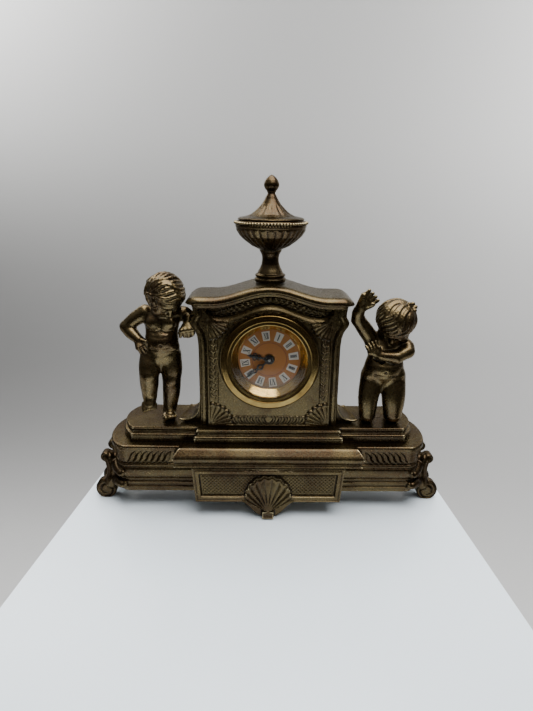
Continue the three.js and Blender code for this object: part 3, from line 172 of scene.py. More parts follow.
def quads(rows, columns, rows_closed=False, columns_closed=True):
    """Faces between successive rows of a grid of points."""
    grid = np.arange(rows * columns).reshape(rows, columns)
    if rows_closed:
        grid = np.vstack([grid, grid[:1]])
    if columns_closed:
        grid = np.hstack([grid, grid[:, :1]])
    return np.stack([grid[:-1, :-1], grid[:-1, 1:], grid[1:, 1:], grid[1:, :-1]], -1).reshape(-1, 4)


def skin(rings, closed=False):
    """A solid over rings that run anticlockwise seen from above, from the bottom up. An open
    stack is capped at both ends, a closed one runs back into its first ring."""
    rings = np.asarray(rings, float)
    rows, columns = rings.shape[:2]
    faces = quads(rows, columns, rows_closed=closed).tolist()
    if not closed:
        faces.append(list(range(columns))[::-1])
        faces.append(list(range((rows - 1) * columns, rows * columns)))
    return rings.reshape(-1, 3), faces


def slab(front, depths):
    """A solid behind a modelled front. The front's rows run upwards, its columns to the right,
    and its edge is carried back through the given depths to a flat rear."""
    rows, columns = front.shape[:2]
    grid = np.arange(rows * columns).reshape(rows, columns)
    faces = quads(rows, columns, columns_closed=False).tolist()
    before = np.concatenate([grid[0], grid[1:, -1], grid[-1, -2::-1], grid[-2:0:-1, 0]])
    points, size = front.reshape(-1, 3), len(before)
    x, _, z = points[before].T
    for k in range(len(depths)):
        now = rows * columns + k * size + np.arange(size)
        faces += np.stack([before, now, np.roll(now, -1), np.roll(before, -1)], -1).tolist()
        before = now
    faces.append(before[::-1].tolist())
    return np.concatenate([points, *(coords(x, depth, z) for depth in depths)]), faces


def lathe(profile, count=96, relief=None, closed=True):
    """A turned solid about Z. relief(angle, radius, height) is added to the radius."""
    angle = np.linspace(0, 2 * np.pi, count, endpoint=False)
    rings = []
    for r, z in profile:
        reach = r + (relief(angle, r, z) if relief else 0)
        rings.append(coords(reach * np.cos(angle), reach * np.sin(angle), z))
    return skin(rings, closed=closed)


def lathe_front(profile, y, count=128):
    """A turned solid about the dial's axis from [radius, distance out of plane y] points that run
    outwards, then back."""
    points, faces = lathe(profile, count)
    return coords(points[:, 0], y - points[:, 2], DIAL.cz + points[:, 1]), faces


def mesh_of(name, points, faces, edges=()):
    mesh = bpy.data.meshes.new(name)
    mesh.from_pydata(np.asarray(points, float) * MM, edges, faces)
    mesh.update()
    return mesh


def linked(name, data):
    """A new object in the scene."""
    thing = bpy.data.objects.new(name, data)
    bpy.context.scene.collection.objects.link(thing)
    return thing


def points_of(mesh):
    """A mesh's points, in millimetres."""
    points = np.empty(len(mesh.vertices) * 3, np.float32)
    mesh.vertices.foreach_get("co", points)
    return points.reshape(-1, 3).astype(float) / MM


def move_points(mesh, points):
    mesh.vertices.foreach_set("co", (points * MM).astype(np.float32).ravel())
    mesh.update()


def tended(mesh, doubles=None):
    """Turns a closed mesh's faces outwards, after points nearer than the given distance are merged."""
    work = bmesh.new()
    work.from_mesh(mesh)
    if doubles:
        bmesh.ops.remove_doubles(work, verts=work.verts, dist=doubles)
    bmesh.ops.recalc_face_normals(work, faces=work.faces)
    work.to_mesh(mesh)
    work.free()
    return mesh


def mark_relief(mesh, spread=1.3, depth=0.56, passes=12):
    """Stores on each point how far it stands out of the surface around it: 0.5 is level, more is a
    crest, painted bright both as brass rubbed by handling and as a painted highlight, less is a
    hollow that keeps its patina. Crests that face down get less of it, so the painted highlight
    stays on faces that look up."""
    points = points_of(mesh)
    count = len(points)
    normals = np.empty(count * 3, np.float32)
    mesh.vertices.foreach_get("normal", normals)
    normals = normals.reshape(-1, 3)
    edges = np.empty(len(mesh.edges) * 2, np.int32)
    mesh.edges.foreach_get("vertices", edges)
    a, b = edges.reshape(-1, 2).T

    def gathered(at_a, at_b):
        return np.bincount(a, at_a, count) + np.bincount(b, at_b, count)

    valence = np.maximum(gathered(None, None), 1)
    run = np.linalg.norm(points[a] - points[b], axis=1)
    reach = np.maximum(gathered(run, run) / valence, 0.05)
    share = np.clip(2 * spread ** 2 / (passes * reach ** 2), 0, 0.6)[:, None]
    level = points.copy()
    for _ in range(passes):
        around = [gathered(level[b, i], level[a, i]) / valence for i in range(3)]
        level += share * (np.stack(around, -1) - level)
    height = ((points - level) * normals).sum(1)
    # painted highlight: crests that face up keep their brightness, crests that face down lose most of it
    upward_painted_highlight = 0.15 + 0.85 * ease((normals[:, 2] + 0.4) / 0.7)
    height = np.where(height > 0, height * upward_painted_highlight, height)
    layer = mesh.attributes.new("relief", "FLOAT", "POINT")
    layer.data.foreach_set("value", np.clip(0.5 + 0.5 * height / depth, 0, 1).astype(np.float32))


def joined(parts):
    """Several (points, faces) solids as one."""
    points, faces, start = [], [], 0
    for some, polygons in parts:
        points.append(np.asarray(some, float))
        faces += [[i + start for i in polygon] for polygon in polygons]
        start += len(some)
    return np.concatenate(points), faces


def both_sides(points, faces):
    """A solid for the right, and its mirror image for the left, by their words."""
    mirrored = points * [-1, 1, 1], [polygon[::-1] for polygon in faces]
    return ("right", (points, faces)), ("left", mirrored)


def bored(mesh, *cutters):
    """A mesh with other closed solids cut out of it."""
    host = linked("host", mesh)
    tools = [linked("tool", mesh_of("tool", *cutter)) for cutter in cutters]
    for tool in tools:
        cut = host.modifiers.new("cut", "BOOLEAN")
        cut.operation, cut.solver, cut.object = "DIFFERENCE", "EXACT", tool
    result = evaluated(host)
    for thing in [host, *tools]:
        bpy.data.objects.remove(thing)
    return result


def evaluated(thing):
    """The plain mesh that an object's modifiers make."""
    shown = thing.evaluated_get(bpy.context.evaluated_depsgraph_get())
    return bpy.data.meshes.new_from_object(shown)


# Clay: forms run together on a grid, for figures and scrolls

def soft_min(a, b, k):
    h = np.clip(0.5 + 0.5 * (b - a) / k, 0, 1)
    return b + (a - b) * h - k * h * (1 - h)


def bar(a, b, ra, rb):
    """The distance to a round bar that runs from a to b."""
    along = b - a
    length = float(along @ along)

    def form(x, y, z):
        px, py, pz = x - a[0], y - a[1], z - a[2]
        t = np.clip((px * along[0] + py * along[1] + pz * along[2]) / length, 0, 1)
        away = (px - t * along[0]) ** 2 + (py - t * along[1]) ** 2 + (pz - t * along[2]) ** 2
        return np.sqrt(away) - (ra + (rb - ra) * t)

    return form


class Clay:
    """A lump of clay on a grid, negative inside. Forms are pressed on or carved, then skinned."""

    def __init__(self, low, high, cell):
        self.low, self.cell = np.array(low, float), cell
        count = np.ceil((np.array(high) - self.low) / cell).astype(int) + 1
        self.field = np.full(count, 60.0, np.float32)
        self.axes = [(self.low[i] + cell * np.arange(count[i])).astype(np.float32) for i in range(3)]

    def window(self, low, high):
        """The part of the grid within a box, with its coordinates."""
        first = np.floor((np.array(low) - self.low) / self.cell).astype(int)
        last = np.ceil((np.array(high) - self.low) / self.cell).astype(int) + 1
        cuts = tuple(slice(max(0, a), max(0, b)) for a, b in zip(first, last))
        x, y, z = (axis[cut] for axis, cut in zip(self.axes, cuts))
        return cuts, x[:, None, None], y[:, None], z

    def press(self, form, low, high, soft=1.0, carve=False):
        """Adds, or carves away, the form that the function gives the distance to."""
        reach = soft + 2 * self.cell
        cuts, x, y, z = self.window(np.array(low) - reach, np.array(high) + reach)
        distance = form(x, y, z)
        if carve:
            self.field[cuts] = -soft_min(-self.field[cuts], distance, soft)
        else:
            self.field[cuts] = soft_min(self.field[cuts], distance, soft)

    def ball(self, at, radii, soft=2.0, carve=False, axes=np.eye(3), bumps=None):
        """An ellipsoid. bumps(side, ahead, up) in its own axes stands out of it."""
        radii = np.broadcast_to(np.asarray(radii, float), 3)
        reach = radii.max() + (2 if bumps else 0)

        def form(x, y, z):
            p = [a[0] * (x - at[0]) + a[1] * (y - at[1]) + a[2] * (z - at[2]) for a in axes]
            q = [c / r for c, r in zip(p, radii)]
            k0 = np.sqrt(sum(c * c for c in q))
            k1 = np.sqrt(sum((c / r) ** 2 for c, r in zip(q, radii)))
            d = k0 * (k0 - 1) / np.maximum(k1, 1e-6)
            return d - bumps(*p) if bumps else d

        self.press(form, np.array(at) - reach, np.array(at) + reach, soft, carve)

    def limb(self, a, b, ra, rb, soft=2.0, carve=False):
        """A round bar from a to b."""
        a, b, r = np.array(a, float), np.array(b, float), max(ra, rb)
        self.press(bar(a, b, ra, rb), np.minimum(a, b) - r, np.maximum(a, b) + r, soft, carve)

    def bend(self, points, radii, soft=2.0):
        """A limb that bends smoothly through the points, with no swelling at its joints."""
        run = spline(np.column_stack([np.array(points, float), radii]), 14 * len(points) - 13)
        bars = [bar(a[:3], b[:3], a[3], b[3]) for a, b in zip(run[:-1], run[1:])]

        def form(x, y, z):
            return functools.reduce(np.minimum, (near(x, y, z) for near in bars))

        r = run[:, 3].max()
        self.press(form, run[:, :3].min(0) - r, run[:, :3].max(0) + r, soft)

    def chain(self, points, radii, soft=2.0, carve=False):
        """Bars from point to point, run together."""
        for a, b, ra, rb in zip(points[:-1], points[1:], radii[:-1], radii[1:]):
            self.limb(a, b, ra, rb, soft, carve)

    def skin(self):
        """Points and quads of the surface where the field is zero."""
        f = self.field
        inside = f < 0
        corners = [inside[i:f.shape[0] - 1 + i, j:f.shape[1] - 1 + j, k:f.shape[2] - 1 + k]
                   for i in (0, 1) for j in (0, 1) for k in (0, 1)]
        count = sum(c.astype(np.int8) for c in corners)
        cells = np.argwhere((count > 0) & (count < 8))
        index = np.full(count.shape, -1, np.int32)
        index[tuple(cells.T)] = np.arange(len(cells))
        total, hits, faces = np.zeros((len(cells), 3)), np.zeros(len(cells)), []
        for axis in range(3):
            step, u, v = np.roll(np.eye(3, dtype=int), -axis, 0)
            for start in (0 * u, v, u, u + v):
                va = f[tuple((cells + start).T)]
                vb = f[tuple((cells + start + step).T)]
                crossing = (va < 0) != (vb < 0)
                t = np.where(crossing, va / np.where(crossing, va - vb, 1), 0)
                total += np.where(crossing[:, None], start + t[:, None] * step, 0)
                hits += crossing
            cut_low = tuple(slice(0, -1) if i == axis else slice(1, -1) for i in range(3))
            cut_high = tuple(slice(1, None) if i == axis else slice(1, -1) for i in range(3))
            change = np.argwhere(inside[cut_low] != inside[cut_high]) + (1 - step)
            outward = inside[tuple(change.T)]
            corners = (-u - v, -v, 0 * u, -u)
            quad = np.stack([index[tuple((change + corner).T)] for corner in corners], -1)
            faces.append(np.where(outward[:, None], quad, quad[:, ::-1]))
        return self.low + self.cell * (cells + total / hits[:, None]), np.concatenate(faces).tolist()


# Node helpers

class Wire:
    """A socket of a node tree that takes part in plain arithmetic."""

    def __init__(self, tree, socket):
        self.tree, self.socket = tree, socket

    def math(self, operation, *values):
        return self.tree.node("ShaderNodeMath", {"operation": operation}, dict(enumerate(values)))

    def __add__(self, other):
        return self.math("ADD", self, other)

    __radd__ = __add__

    def __sub__(self, other):
        return self.math("SUBTRACT", self, other)

    def __rsub__(self, other):
        return self.math("SUBTRACT", other, self)

    def __mul__(self, other):
        return self.math("MULTIPLY", self, other)

    __rmul__ = __mul__

    def clamp(self):
        return self.tree.node("ShaderNodeClamp", {}, {"Value": self}, "Result")

    def step(self, low, high):
        """0 below low, 1 above high, smooth between."""
        links = {"Value": self, "From Min": low, "From Max": high}
        return self.tree.node("ShaderNodeMapRange", {"interpolation_type": "SMOOTHSTEP"}, links, "Result")


class Tree:
    """A node tree under way."""

    def __init__(self, graph):
        self.graph = graph

    def node(self, kind, settings, links, out=0):
        """Any node: its settings, then the values or links of its sockets."""
        made = self.graph.nodes.new(kind)
        for key, value in settings.items():
            setattr(made, key, value)
        for key, value in links.items():
            if isinstance(value, Wire):
                self.graph.links.new(value.socket, made.inputs[key])
            else:
                made.inputs[key].default_value = value
        return Wire(self, made.outputs[out]) if made.outputs else made


class Finish(Tree):
    """One material under way."""

    def __init__(self, name):
        self.material = bpy.data.materials.new(name)
        self.material.use_nodes = True
        super().__init__(self.material.node_tree)
        self.graph.nodes.clear()

    def place(self):
        return self.node("ShaderNodeTexCoord", {}, {}, "Object")

    def coordinate(self, axis):
        return self.node("ShaderNodeSeparateXYZ", {}, {"Vector": self.place()}, axis)

    def relief(self):
        return self.node("ShaderNodeAttribute", {"attribute_name": "relief"}, {}, "Fac")

    def noise(self, scale, detail=4.0, rough=0.55, place=None):
        links = {"Vector": place or self.place(), "Scale": scale, "Detail": detail, "Roughness": rough}
        return self.node("ShaderNodeTexNoise", {}, links, "Fac")

    def mix(self, share, a, b):
        """One colour into another."""
        return self.node("ShaderNodeMix", {"data_type": "RGBA"}, {"Factor": share, 6: a, 7: b}, 2)

    def bump(self, height, strength, distance):
        links = {"Height": height, "Strength": strength, "Distance": distance}
        return self.node("ShaderNodeBump", {}, links)

    def principled(self, **sockets):
        links = {key.replace("_", " "): value for key, value in sockets.items()}
        return self.node("ShaderNodeBsdfPrincipled", {}, links)

    def done(self, shader):
        self.node("ShaderNodeOutputMaterial", {}, {"Surface": shader})
        return self.material


def opaque(colour, dim=1.0):
    return (*(c * dim for c in colour[:3]), 1)


def aged_brass(name, look, rub_and_highlight_strength=1.0, glow=0.0, dim=1.0):
    """Cast brass: brown patina in the hollows, a dull gold skin, crests painted bright as rubbed
    brass and as a painted highlight, under thin old lacquer.
    """
    f = Finish(name)
    relief = f.relief()
    broad = f.noise(30, 5)
    fine = f.noise(520, 5, 0.62)
    grain = f.noise(2600, 2)
    stand = relief + (fine - 0.5) * 0.16
    hollow = 1 - stand.step(0.16, 0.47)
    # painted bright on crests: rubbed brass, and a painted highlight along edges and ridges
    rub_and_painted_highlight = stand.step(0.66, 0.9) * rub_and_highlight_strength
    tones = look.brass_brown, look.brass_gold, look.brass_olive, look.brass_rub_and_highlight
    brown, gold, olive, rub_highlight_tone = (opaque(tone, dim) for tone in tones)
    tone = f.mix((broad + glow).step(0.42, 0.66), brown, gold)
    bloom = f.mix(fine.step(0.47, 0.7) * 0.6, tone, olive)
    dirty = f.mix(hollow * 0.92, bloom, opaque(look.brass_patina))
    colour = f.mix(rub_and_painted_highlight * 0.85, dirty, rub_highlight_tone)
    rough = 0.29 + hollow * 0.25 + (fine - 0.5) * 0.3 - rub_and_painted_highlight * 0.05
    metal = 0.96 - hollow * 0.3
    dent = f.bump(grain * 0.35 + fine * 0.65, 0.26, 0.0006)
    return f.done(f.principled(Base_Color=colour, Roughness=rough.clamp(), Metallic=metal, Normal=dent,
                               Specular_Tint=opaque((0.7, 0.68, 0.61), dim),
                               Coat_Weight=0.34 * dim, Coat_Roughness=0.24))


def lacquered_brass(name, look, rough, dim):
    """Turned brass that kept its lacquer: yellow, with fine turning lines and faint spots."""
    f = Finish(name)
    relief = f.relief()
    broad = f.noise(70, 4)
    fine = f.noise(700, 3)
    spots = f.noise(160, 2).step(0.64, 0.74)
    tone = f.mix(broad.step(0.3, 0.7), opaque(look.lacquer_dark, dim), opaque(look.lacquer_gold, dim))
    hollow = 1 - relief.step(0.2, 0.46)
    tone = f.mix(hollow * 0.75 + spots * 0.2, tone, opaque(look.brass_patina))
    rough = rough + fine * 0.08 + hollow * 0.2
    dent = f.bump(fine, 0.03, 0.0003)
    return f.done(f.principled(Base_Color=tone, Roughness=rough, Metallic=0.98 - hollow * 0.2, Normal=dent,
                               Specular_Tint=(0.8, 0.7, 0.5, 1)))


def milled_metal(name, dark, light, rough):
    """Inner metal of the movement, with a soft grain and slight staining."""
    f = Finish(name)
    place = f.node("ShaderNodeMapping", {}, {"Vector": f.place(), "Scale": (1, 0.15, 1)})
    grain = f.noise(900, 3, place=place)
    stain = f.noise(120, 5)
    tone = f.mix(stain.step(0.3, 0.75), opaque(dark), opaque(light))
    dent = f.bump(grain, 0.06, 0.0003)
    return f.done(f.principled(Base_Color=tone, Roughness=rough + grain * 0.18, Metallic=1.0, Normal=dent))


PALE_DROP = 21.0


def dial_copper(name, look):
    """Copper dial: brushed orange, paler and greyer towards the foot."""
    f = Finish(name)
    broad = f.noise(140, 4)
    fine = f.noise(1500, 3)
    rise = f.coordinate("Z") * (1 / MM) - (DIAL.cz - PALE_DROP)
    share = (rise + (broad - 0.5) * 10).step(-7, 7)
    tone = f.mix(share, opaque(look.dial_pale), opaque(look.dial_copper))
    tone = f.mix(broad.step(0.55, 0.8) * 0.35, tone, opaque(look.dial_stain))
    dent = f.bump(fine, 0.05, 0.0002)
    return f.done(f.principled(Base_Color=tone, Roughness=0.38 + fine * 0.14, Metallic=0.55, Normal=dent))


def enamel(name, colour, stain, rough=0.35, gap=0.35):
    """Printed or enamelled colour with slight foxing."""
    f = Finish(name)
    spots = f.noise(900, 4)
    tone = f.mix(spots.step(0.5, 0.8) * gap, opaque(colour), opaque(stain))
    return f.done(f.principled(Base_Color=tone, Roughness=rough + spots * 0.12, Metallic=0.0))


def clear_glass(name, look):
    """Thin domed glass: light passes, the room shows in it by its slant."""
    f = Finish(name)
    slant = f.node("ShaderNodeLayerWeight", {}, {"Blend": 0.5}, "Facing")
    smear = f.noise(60, 3)
    through = f.node("ShaderNodeBsdfTransparent", {}, {"Color": opaque(look.glass_tint)})
    mirror = f.principled(Base_Color=(1, 1, 1, 1), Roughness=0.04 + smear * 0.05, Metallic=1.0)
    share = slant.math("POWER", slant, 5.0) * 0.55 + 0.012
    return f.done(f.node("ShaderNodeMixShader", {}, {0: share, 1: through, 2: mirror}))


def plain_table(name, colour):
    """Pale smooth board with a faint cloud."""
    f = Finish(name)
    cloud = f.noise(3, 2)
    tone = f.mix(cloud.step(0.2, 0.8) * 0.12, opaque(colour), opaque(colour, 0.93))
    return f.done(f.principled(Base_Color=tone, Roughness=0.16 + cloud * 0.05))


def curved_wall(name, colour):
    """Paper backdrop: paler above, with painted shade where it turns up, less of it towards the
    right, and painted light that makes the floor in front paler.
    """
    f = Finish(name)
    x, y, z = (f.coordinate(axis) for axis in "XYZ")
    # painted shade where the backdrop curves up behind the table
    turn = y.step(0.25, 0.92) * (1 - z.step(-0.34, 0.42))
    # painted shade is lighter towards the right
    painted_cove_shading = turn * (0.82 - x.step(-0.9, 0.9) * 0.2)
    # painted light: the floor in front of the curve is made paler
    floor_painted_light = f.mix(y.step(0.0, 0.6), opaque(colour, 1.4), opaque(colour))
    tone = f.mix(painted_cove_shading, floor_painted_light, opaque(colour, 0.27))
    return f.done(f.principled(Base_Color=tone, Roughness=0.8))


# Geometry node helpers

class Rows(Tree):
    """A geometry node tree with named inputs that repeats a piece."""

    def __init__(self, name, **inputs):
        super().__init__(bpy.data.node_groups.new(name, "GeometryNodeTree"))
        self.keys, face = {}, self.graph.interface
        for label, kind in inputs.items():
            socket = face.new_socket(label, in_out="INPUT", socket_type=f"NodeSocket{kind}")
            self.keys[label] = socket.identifier
        face.new_socket("Geometry", in_out="OUTPUT", socket_type="NodeSocketGeometry")
        given = self.graph.nodes.new("NodeGroupInput").outputs
        self.inputs = {label: Wire(self, given[label]) for label in inputs}

    def shape(self, label):
        return self.node("GeometryNodeObjectInfo", {}, {"Object": self.inputs[label]}, "Geometry")

    def finish(self, points, facing):
        """Ends the tree with the piece on each point, as real, coloured geometry."""
        links = {"Points": points, "Instance": self.shape("piece"), "Rotation": facing}
        pieces = self.node("GeometryNodeInstanceOnPoints", {}, links)
        real = self.node("GeometryNodeRealizeInstances", {}, {"Geometry": pieces})
        links = {"Geometry": real, "Material": self.inputs["finish"]}
        self.node("NodeGroupOutput", {}, {"Geometry": self.node("GeometryNodeSetMaterial", {}, links)})
        return self

    def run(self, name, finish, **values):
        """The mesh that the tree makes of the given values. Its patterns are then taken away."""
        holder = linked(name, bpy.data.meshes.new(name))
        modifier = holder.modifiers.new(name, "NODES")
        modifier.node_group = self.graph
        for label, value in {**values, "finish": finish_named(finish)}.items():
            modifier[self.keys[label]] = value
        mesh = evaluated(holder)
        holder.modifiers.remove(modifier)
        for thing in [holder, *values.values()]:
            if isinstance(thing, bpy.types.Object):
                bpy.data.objects.remove(thing)
        return mesh


def pattern_piece(name, points, faces):
    """A piece to be repeated."""
    return linked(name, mesh_of(name, points, faces))


def pattern_path(points):
    """A path for pieces to follow."""
    return linked("path", mesh_of("path", points, [], [(i, i + 1) for i in range(len(points) - 1)]))


def round_row():
    """Repeats one piece around a circle about Z, each turned to face out."""
    n = Rows("round_row", piece="Object", count="Int", radius="Float", height="Float", finish="Material")
    count, radius = n.inputs["count"], n.inputs["radius"]
    line = n.node("GeometryNodeMeshLine", {}, {"Count": count, "Offset": (0, 0, 0)})
    number = n.node("GeometryNodeInputIndex", {}, {})
    turn = number.math("DIVIDE", number, count) * (2 * math.pi)
    x, y = turn.math("COSINE", turn) * radius, turn.math("SINE", turn) * radius
    spot = n.node("ShaderNodeCombineXYZ", {}, {"X": x, "Y": y, "Z": n.inputs["height"]})
    points = n.node("GeometryNodeSetPosition", {}, {"Geometry": line, "Position": spot})
    return n.finish(points, n.node("ShaderNodeCombineXYZ", {}, {"Z": turn}))


def path_row():
    """Repeats one piece along a path that lies in the plane of the front, turned to follow it and
    swung to either side by turns."""
    n = Rows("path_row", path="Object", piece="Object", count="Int", swing="Float", finish="Material")
    curve = n.node("GeometryNodeMeshToCurve", {}, {"Mesh": n.shape("path")})
    even = n.node("GeometryNodeResampleCurve", {}, {"Curve": curve, "Count": n.inputs["count"]})
    tangent = n.node("GeometryNodeInputTangent", {}, {})
    across, upward = (n.node("ShaderNodeSeparateXYZ", {}, {"Vector": tangent}, axis) for axis in "XZ")
    number = n.node("GeometryNodeInputIndex", {}, {})
    swing = (number.math("MODULO", number, 2.0) * 2.0 - 1.0) * n.inputs["swing"]
    turn = upward.math("ARCTAN2", upward, across) + swing
    return n.finish(even, n.node("ShaderNodeCombineXYZ", {}, {"Y": turn * -1.0}))


# Settings

def length(name, description, value):
    return bpy.props.FloatProperty(
        name=name, description=description, default=value * MM, unit="LENGTH", precision=5)


def number(name, description, value):
    return bpy.props.IntProperty(name=name, description=description, default=value, min=1)


def colour(name, description, value):
    return bpy.props.FloatVectorProperty(
        name=name, description=description, default=value, size=3, subtype="COLOR", min=0, max=1)


class ClockSizes(bpy.types.PropertyGroup):
    """Sizes of the ornament, which the solids leave plain."""

    clay_cell: length("Figure grain", "Grid step of the modelled figures", 0.52)
    scroll_cell: length("Scroll grain", "Grid step of the scroll feet", 0.45)
    leaf_length: length("Frieze leaf", "How far a leaf on the base's band runs", 8.6)
    leaf_count: number("Frieze leaves", "Leaves on each side of the tablet", 7)
    lattice_pitch: length("Lattice pitch", "Distance between the apron's crossing ridges", 3.1)
    lattice_rise: length("Lattice rise", "Height of the apron's crossing ridges", 0.55)
    shell_ribs: number("Shell ribs", "Ribs of the apron's shell", 9)
    fan_radius: length("Corner fan", "Reach of a fan in the plate's corner", 19.5)
    fan_ribs: number("Fan ribs", "Ribs of a corner fan", 6)
    bead_count: number("Urn beads", "Beads around the urn's rim", 72)
    bead_radius: length("Bead radius", "Radius of a bead on the urn's rim", 1.1)
    gadroons: number("Gadroons", "Lobes around the urn's bowl", 26)
    numeral_radius: length("Numeral circle", "Radius of the numerals' middle", 19.6)
    cartouche_wide: length("Cartouche width", "Width of a numeral's plate", 6.0)
    cartouche_tall: length("Cartouche height", "Height of a numeral's plate", 7.8)
    inner_circle: length("Inner circle", "Radius of the line inside the numerals", 13.9)


class ClockColours(bpy.types.PropertyGroup):
    """Colours of the finishes."""

    brass_patina: colour("Patina", "Brown left in the hollows of the castings", (0.014, 0.008, 0.004))
    brass_brown: colour("Brown skin", "Darker skin of the castings", (0.064, 0.035, 0.0115))
    brass_gold: colour("Gold skin", "Lighter skin of the castings", (0.132, 0.092, 0.035))
    brass_olive: colour("Olive bloom", "Grey-green bloom on the castings", (0.092, 0.08, 0.044))
    # bright crest colour: rubbed brass, and a painted highlight
    brass_rub_and_highlight: colour("Bright crest", "Brass on rubbed crests", (0.6, 0.48, 0.27))
    lacquer_gold: colour("Lacquer gold", "Lighter tone of the turned brass", (0.52, 0.36, 0.13))
    lacquer_dark: colour("Lacquer brown", "Darker tone of the turned brass", (0.3, 0.18, 0.055))
    dial_copper: colour("Dial copper", "Copper of the dial", (0.29, 0.114, 0.032))
    dial_pale: colour("Dial pale", "Paler foot of the dial", (0.22, 0.158, 0.1))
    dial_stain: colour("Dial stain", "Darker clouds on the dial", (0.2, 0.088, 0.027))
    dial_line: colour("Dial line", "Line inside the numerals", (0.13, 0.018, 0.008))
    plate_white: colour("Cartouche", "Numerals' plates", (0.46, 0.42, 0.375))
    plate_fox: colour("Cartouche fox", "Stain on the numerals' plates", (0.4, 0.31, 0.22))
    ink: colour("Ink", "Numerals", (0.012, 0.014, 0.028))
    hand_black: colour("Hands", "Hands of the dial", (0.008, 0.008, 0.009))
    glass_tint: colour("Glass", "Tint of the lens", (0.97, 0.965, 0.94))
    steel_dark: colour("Steel stain", "Darker steel", (0.24, 0.24, 0.25))
    steel_light: colour("Steel", "Lighter steel", (0.5, 0.5, 0.51))
    blue_dark: colour("Blued steel", "Darker blued steel", (0.012, 0.018, 0.05))
    blue_light: colour("Blued steel light", "Lighter blued steel", (0.03, 0.05, 0.13))
    table_white: colour("Table", "Floor under the clock", (0.85, 0.94, 1.0))
    wall_grey: colour("Wall", "Wall behind the clock", (0.37, 0.368, 0.362))


# Finishes by name: the slot of the solids that each belongs to, and its maker
FINISHES = {
    # each brass finish's crest strength sets both its rubbed brass and its painted highlight
    "cast": ("aged_brass", lambda look: aged_brass("aged_brass", look, dim=0.68)),
    "crown": ("aged_brass", lambda look: aged_brass("crown_brass", look, rub_and_highlight_strength=0.8, dim=0.72)),
    "figure": ("aged_brass", lambda look: aged_brass("figure_brass", look, rub_and_highlight_strength=0.2, glow=0.08, dim=0.9)),
    "ornament": ("aged_brass", lambda look: aged_brass("ornament_brass", look, rub_and_highlight_strength=0.25, dim=0.62)),
    "plate": ("aged_brass", lambda look: aged_brass("plate_brass", look, rub_and_highlight_strength=0.8, glow=0.1, dim=0.7)),
    "lacquer": ("polished_brass", lambda look: lacquered_brass("polished_brass", look, 0.14, 1.1)),
    "ring": ("polished_brass", lambda look: lacquered_brass("bezel_brass", look, 0.08, 0.55)),
    "movement": ("movement_brass", lambda look: milled_metal(
        "movement_brass", look.lacquer_dark, look.lacquer_gold, 0.24)),
    "steel": ("steel", lambda look: milled_metal("steel", look.steel_dark, look.steel_light, 0.26)),
    "blued": ("blued_steel", lambda look: milled_metal(
        "blued_steel", look.blue_dark, look.blue_light, 0.22)),
    "dial": ("dial_face", lambda look: dial_copper("dial_face", look)),
    "cartouche": ("dial_face", lambda look: enamel("cartouche_white", look.plate_white, look.plate_fox)),
    "ink": ("dial_face", lambda look: enamel("numeral_ink", look.ink, look.dial_line, 0.5)),
    "line": ("dial_face", lambda look: enamel("dial_line", look.dial_line, look.dial_stain, 0.5)),
    "hand": ("hand_black", lambda look: enamel("hand_black", look.hand_black, look.dial_line, 0.38, 0.15)),
    "glass": ("lens_glass", lambda look: clear_glass("lens_glass", look)),
}


@functools.cache
def finish_named(name):
    """A finish, made once."""
    return FINISHES[name][1](bpy.context.scene.clock_colours)


def show(name, mesh, finish, body=ROOT, replaces=None, sharp=40):
    """Puts a finished mesh in the scene, on its body, in place of its solid."""
    mesh.materials.clear()
    mesh.materials.append(finish_named(finish))
    mesh.shade_smooth()
    mesh.set_sharp_from_angle(angle=math.radians(sharp))
    mark_relief(mesh)
    piece = linked(name, mesh)
    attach(piece, body)
    if replaces:
        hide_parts(replaces)


def build(name, points, faces, finish, **rest):
    show(name, mesh_of(name, points, faces), finish, **rest)


def sizes_mm(*names):
    """Settings in millimetres, counts as they are."""
    group = bpy.context.scene.clock_sizes
    values = [getattr(group, name) for name in names]
    return [v / MM if isinstance(v, float) else v for v in values]


# Base

BASE_BOW = 17.5
BASE_FLAT = BASE.wide / 2 - BASE_BOW
BASE_PROFILE = [
    (0, 4.2), (2.4, 4.2), (2.7, 3.3), (4.2, 3.3), (4.6, 4.7), (6.0, 4.8), (6.4, 3.6), (8.6, 3.5),
    (9.0, 4.7), (10.4, 4.8), (10.8, 3.5), (12.0, 3.2), (12.4, 4.0), (13.2, 4.0), (13.6, 2.9),
    (15.5, 2.2), (18, 2.0), (20.5, 2.3), (22.0, 3.0), (22.4, 3.8), (23.0, 2.6), (24.4, 2.2),
    (25.6, 2.8), (26.0, 3.9), (26.8, 3.9), (27.2, 2.9), (38.2, 1.6), (38.6, 0.2), (41.6, 0),
    (42.7, 0.6), (43, 1.5),
]
BASE_WALL = 8.0
BASE_WELL = 14.0
BASE_WELL_DEEP = 5.0
LEAF_TALL = 10.8
LEAF_HALF = 2.7
LEAF_RISE = 1.7
FRIEZE_HEIGHT = 32.7
FRIEZE_SINK = 2.2
FRIEZE_CLEAR = 5.5, 5.0


def oval(flat, depth, bow, step=1.0):
    """Straight front and back with half-ellipse ends, anticlockwise from the front's left. The
    result gives the ring for an inset."""
    straight = np.linspace(-flat, flat, int(2 * flat / step))
    turn = np.linspace(-np.pi / 2, np.pi / 2, int(np.pi * depth / 2 / step) + 8)[1:-1]
    half = np.concatenate([coords(straight, 0, -1), coords(flat, np.cos(turn), np.sin(turn))])
    anchor, along, across = np.concatenate([half, -half]).T
    return lambda inset: coords(anchor + (bow - inset) * along, (depth - inset) * across)


def standing(plan, y):
    """A ring in the plane of the front, at its depth."""
    return coords(plan[:, 0], y, plan[:, 1])


def raised(plan, z, y=0.0):
    """A plan ring at a height."""
    return coords(plan[:, 0], plan[:, 1] + y, z)


